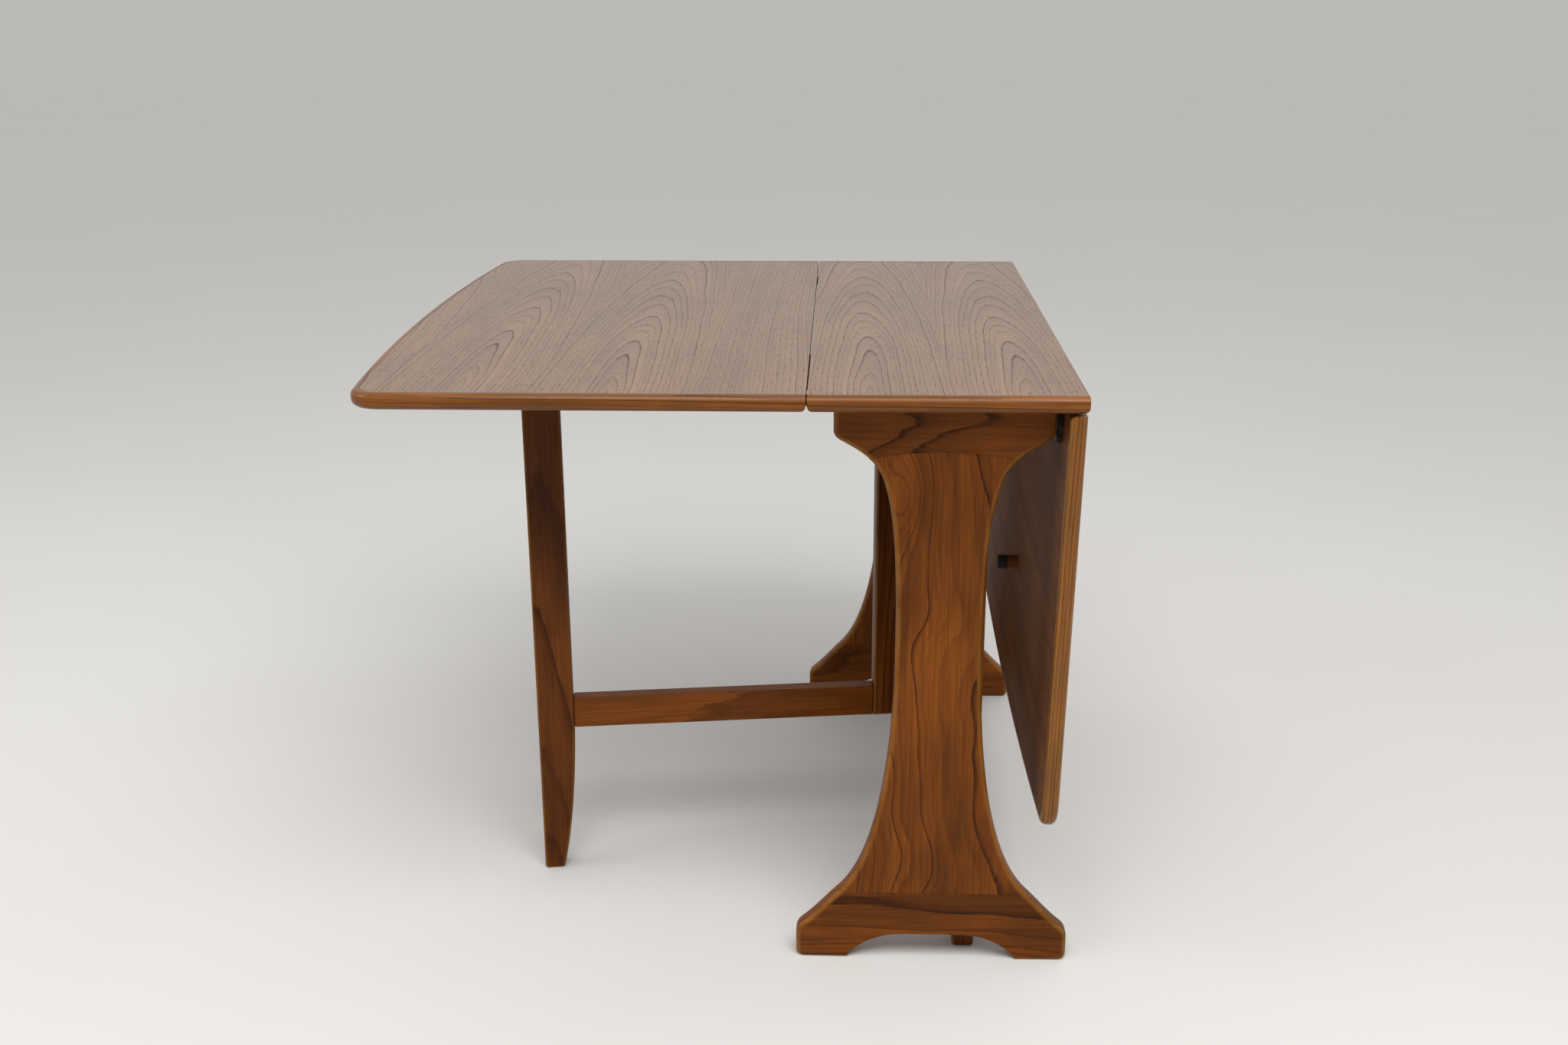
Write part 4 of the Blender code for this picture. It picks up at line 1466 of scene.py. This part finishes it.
pegShape = {
    "segments": 48,
    "chamfer": 0.0007,
    "tipRound": 0.0022,
    "tipTaper": 0.0004,
    "spigotShare": 0.5,
    "tipRoundSteps": 8,
    "grooveSteps": (
        (0.0, 0.0035),
        (0.0005, 0.003),
        (0.0005, 0.0024),
        (0.0, 0.0019),
        (0.0, 0.0004),
        (0.0004, 0.0),
    ),
    "heart": (0.0, 0.02, 0.01),
}
pegLow, pegHigh = (corner.z - leafPivot["left"].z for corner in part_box("left_stop_peg"))
tipLow, tipHigh = (corner.z - leafPivot["left"].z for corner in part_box("left_stop_peg_tip"))


def buildPeg(side):
    low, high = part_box(side + "_stop_peg")
    middle = leafPlace[side].inverted() @ ((low + high) / 2)
    place = leafPlace[side] @ Matrix.Translation((middle.x, middle.y, 0.0))
    radius = span(side + "_stop_peg").y / 2
    spigot = radius * pegShape["spigotShare"]
    shoulder = tipHigh + gap
    chamfer = pegShape["chamfer"]
    wood = [
        (0.0, pegLow),
        (spigot - chamfer, pegLow),
        (spigot, pegLow + chamfer),
        (spigot, shoulder),
        (radius - chamfer, shoulder),
        (radius, shoulder + chamfer),
        (radius, pegHigh),
        (0.0, pegHigh),
    ]
    finishPiece(
        side + "StopPeg",
        lathe(wood, pegShape["segments"]),
        place,
        side + "_leaf",
        "peg_wood",
        side + "_stop_peg",
        grain=timber("zxy", pegShape["heart"]),
    )
    rounding = pegShape["tipRound"]
    end = radius - pegShape["tipTaper"]
    tip = [(0.0, tipLow)]
    tip += arc((end - rounding, tipLow + rounding), rounding, -90, 0, pegShape["tipRoundSteps"])
    tip += [(radius - inset, tipHigh - drop) for inset, drop in pegShape["grooveSteps"]]
    tip += [(spigot + gap, tipHigh), (spigot + gap, pegLow - gap), (0.0, pegLow - gap)]
    finishPiece(
        side + "StopPegTip",
        lathe(tip, pegShape["segments"]),
        place,
        side + "_leaf",
        "rubber",
        side + "_stop_peg_tip",
    )


buildPeg("left")
buildPeg("right")
print("hinges, screws and pegs built")


# Floor, light and camera

def makeFloor(look):
    bm = bmesh.new()
    bmesh.ops.create_grid(bm, x_segments=4, y_segments=4, size=look["reach"])
    mesh = asMesh(bm, "studioFloor")
    for polygon in mesh.polygons:
        if polygon.normal.z < 0:
            polygon.flip()
    floor = bpy.data.objects.new("studioFloor", mesh)
    scene.collection.objects.link(floor)
    material, tree, shader = startMaterial("paleFloor")
    place = put(tree, "ShaderNodeTexCoord").outputs["Object"]
    cloud = noise(tree, place, look["cloudRate"], detail=3.0)["Fac"]
    tree.links.new(mixColour(tree, cloud, look["pale"], look["paler"]), shader["Base Color"])
    rough = between(tree, cloud, *look["cloudSpan"], *look["roughness"])
    tree.links.new(rough, shader["Roughness"])
    shader["Specular IOR Level"].default_value = look["specular"]
    mesh.materials.append(material)


makeFloor({
    "reach": 150.0,
    "pale": colour(0.67, 0.655, 0.635),
    "paler": colour(0.71, 0.70, 0.685),
    "cloudRate": (1.5, 1.5, 1.5),
    "cloudSpan": (0.2, 0.8),
    "roughness": (0.55, 0.65),
    "specular": 0.2,
})


def makeWorld(look):
    world = bpy.data.worlds.new("paleStudio")
    world.use_nodes = True
    scene.world = world
    tree = world.node_tree
    shade = tree.nodes["Background"].inputs
    direction = put(tree, "ShaderNodeTexCoord").outputs["Generated"]
    split = put(tree, "ShaderNodeSeparateXYZ", {0: direction}).outputs
    overhead = between(tree, split[2], *look["ceilingSpan"])
    wall = between(tree, split[1], *look["wallSpan"])
    around = mixColour(tree, wall, look["behindCamera"], look["backWall"])
    lit = mixColour(tree, overhead, around, look["ceiling"])
    seen = put(tree, "ShaderNodeLightPath").outputs["Is Camera Ray"]
    tree.links.new(mixColour(tree, seen, lit, look["seen"]), shade["Color"])


makeWorld({
    "behindCamera": colour(0.07, 0.07, 0.07),
    "backWall": colour(0.66, 0.655, 0.65),
    "ceiling": colour(0.76, 0.76, 0.755),
    "seen": colour(0.510, 0.506, 0.495),
    "ceilingSpan": (0.0, 0.8),
    "wallSpan": (-0.6, 0.7),
})


def makeLamp(name, look):
    lamp = bpy.data.lights.new(name, "AREA")
    lamp.shape = "RECTANGLE"
    lamp.size, lamp.size_y = look["size"]
    lamp.energy = look["power"]
    lamp.color = look["colour"]
    item = bpy.data.objects.new(name, lamp)
    item.location = look["place"]
    aim = Vector(look["aim"]) - Vector(look["place"])
    item.rotation_mode = "QUATERNION"
    item.rotation_quaternion = aim.to_track_quat("-Z", "Y")
    scene.collection.objects.link(item)


makeLamp("softboxAbove", {
    "size": (2.6, 1.8), "power": 80.0, "colour": (1.0, 0.985, 0.96),
    "place": (0.45, -1.8, 3.0), "aim": (0.15, 0.0, 0.5),
})
makeLamp("softboxSide", {
    "size": (1.6, 2.0), "power": 22.0, "colour": (0.97, 0.98, 1.0),
    "place": (-2.8, -0.8, 2.4), "aim": (0.15, 0.0, 0.4),
})

cameraSetup = {
    "place": (0.1441, -2.2126, 1.1652),
    "pitch": 18.2417,
    "yaw": -2.113,
    "roll": -0.1766,
    "lens": 38.10,
    "sensor": 36.0,
}


def makeCamera(setup):
    pitch, yaw, roll = (math.radians(setup[name]) for name in ("pitch", "yaw", "roll"))
    flat = math.cos(pitch)
    forward = Vector((math.sin(yaw) * flat, math.cos(yaw) * flat, -math.sin(pitch)))
    level = Vector((math.cos(yaw), -math.sin(yaw), 0.0))
    upward = level.cross(forward)
    right = math.cos(roll) * level + math.sin(roll) * upward
    up = math.cos(roll) * upward - math.sin(roll) * level
    turn = Matrix((right, up, -forward)).transposed().to_4x4()
    lens = bpy.data.cameras.new("tableCamera")
    lens.lens = setup["lens"]
    lens.sensor_width = setup["sensor"]
    camera = bpy.data.objects.new("tableCamera", lens)
    camera.matrix_world = Matrix.Translation(setup["place"]) @ turn
    scene.collection.objects.link(camera)
    scene.camera = camera


makeCamera(cameraSetup)
scene.view_settings.view_transform = "Standard"
print("stage set")
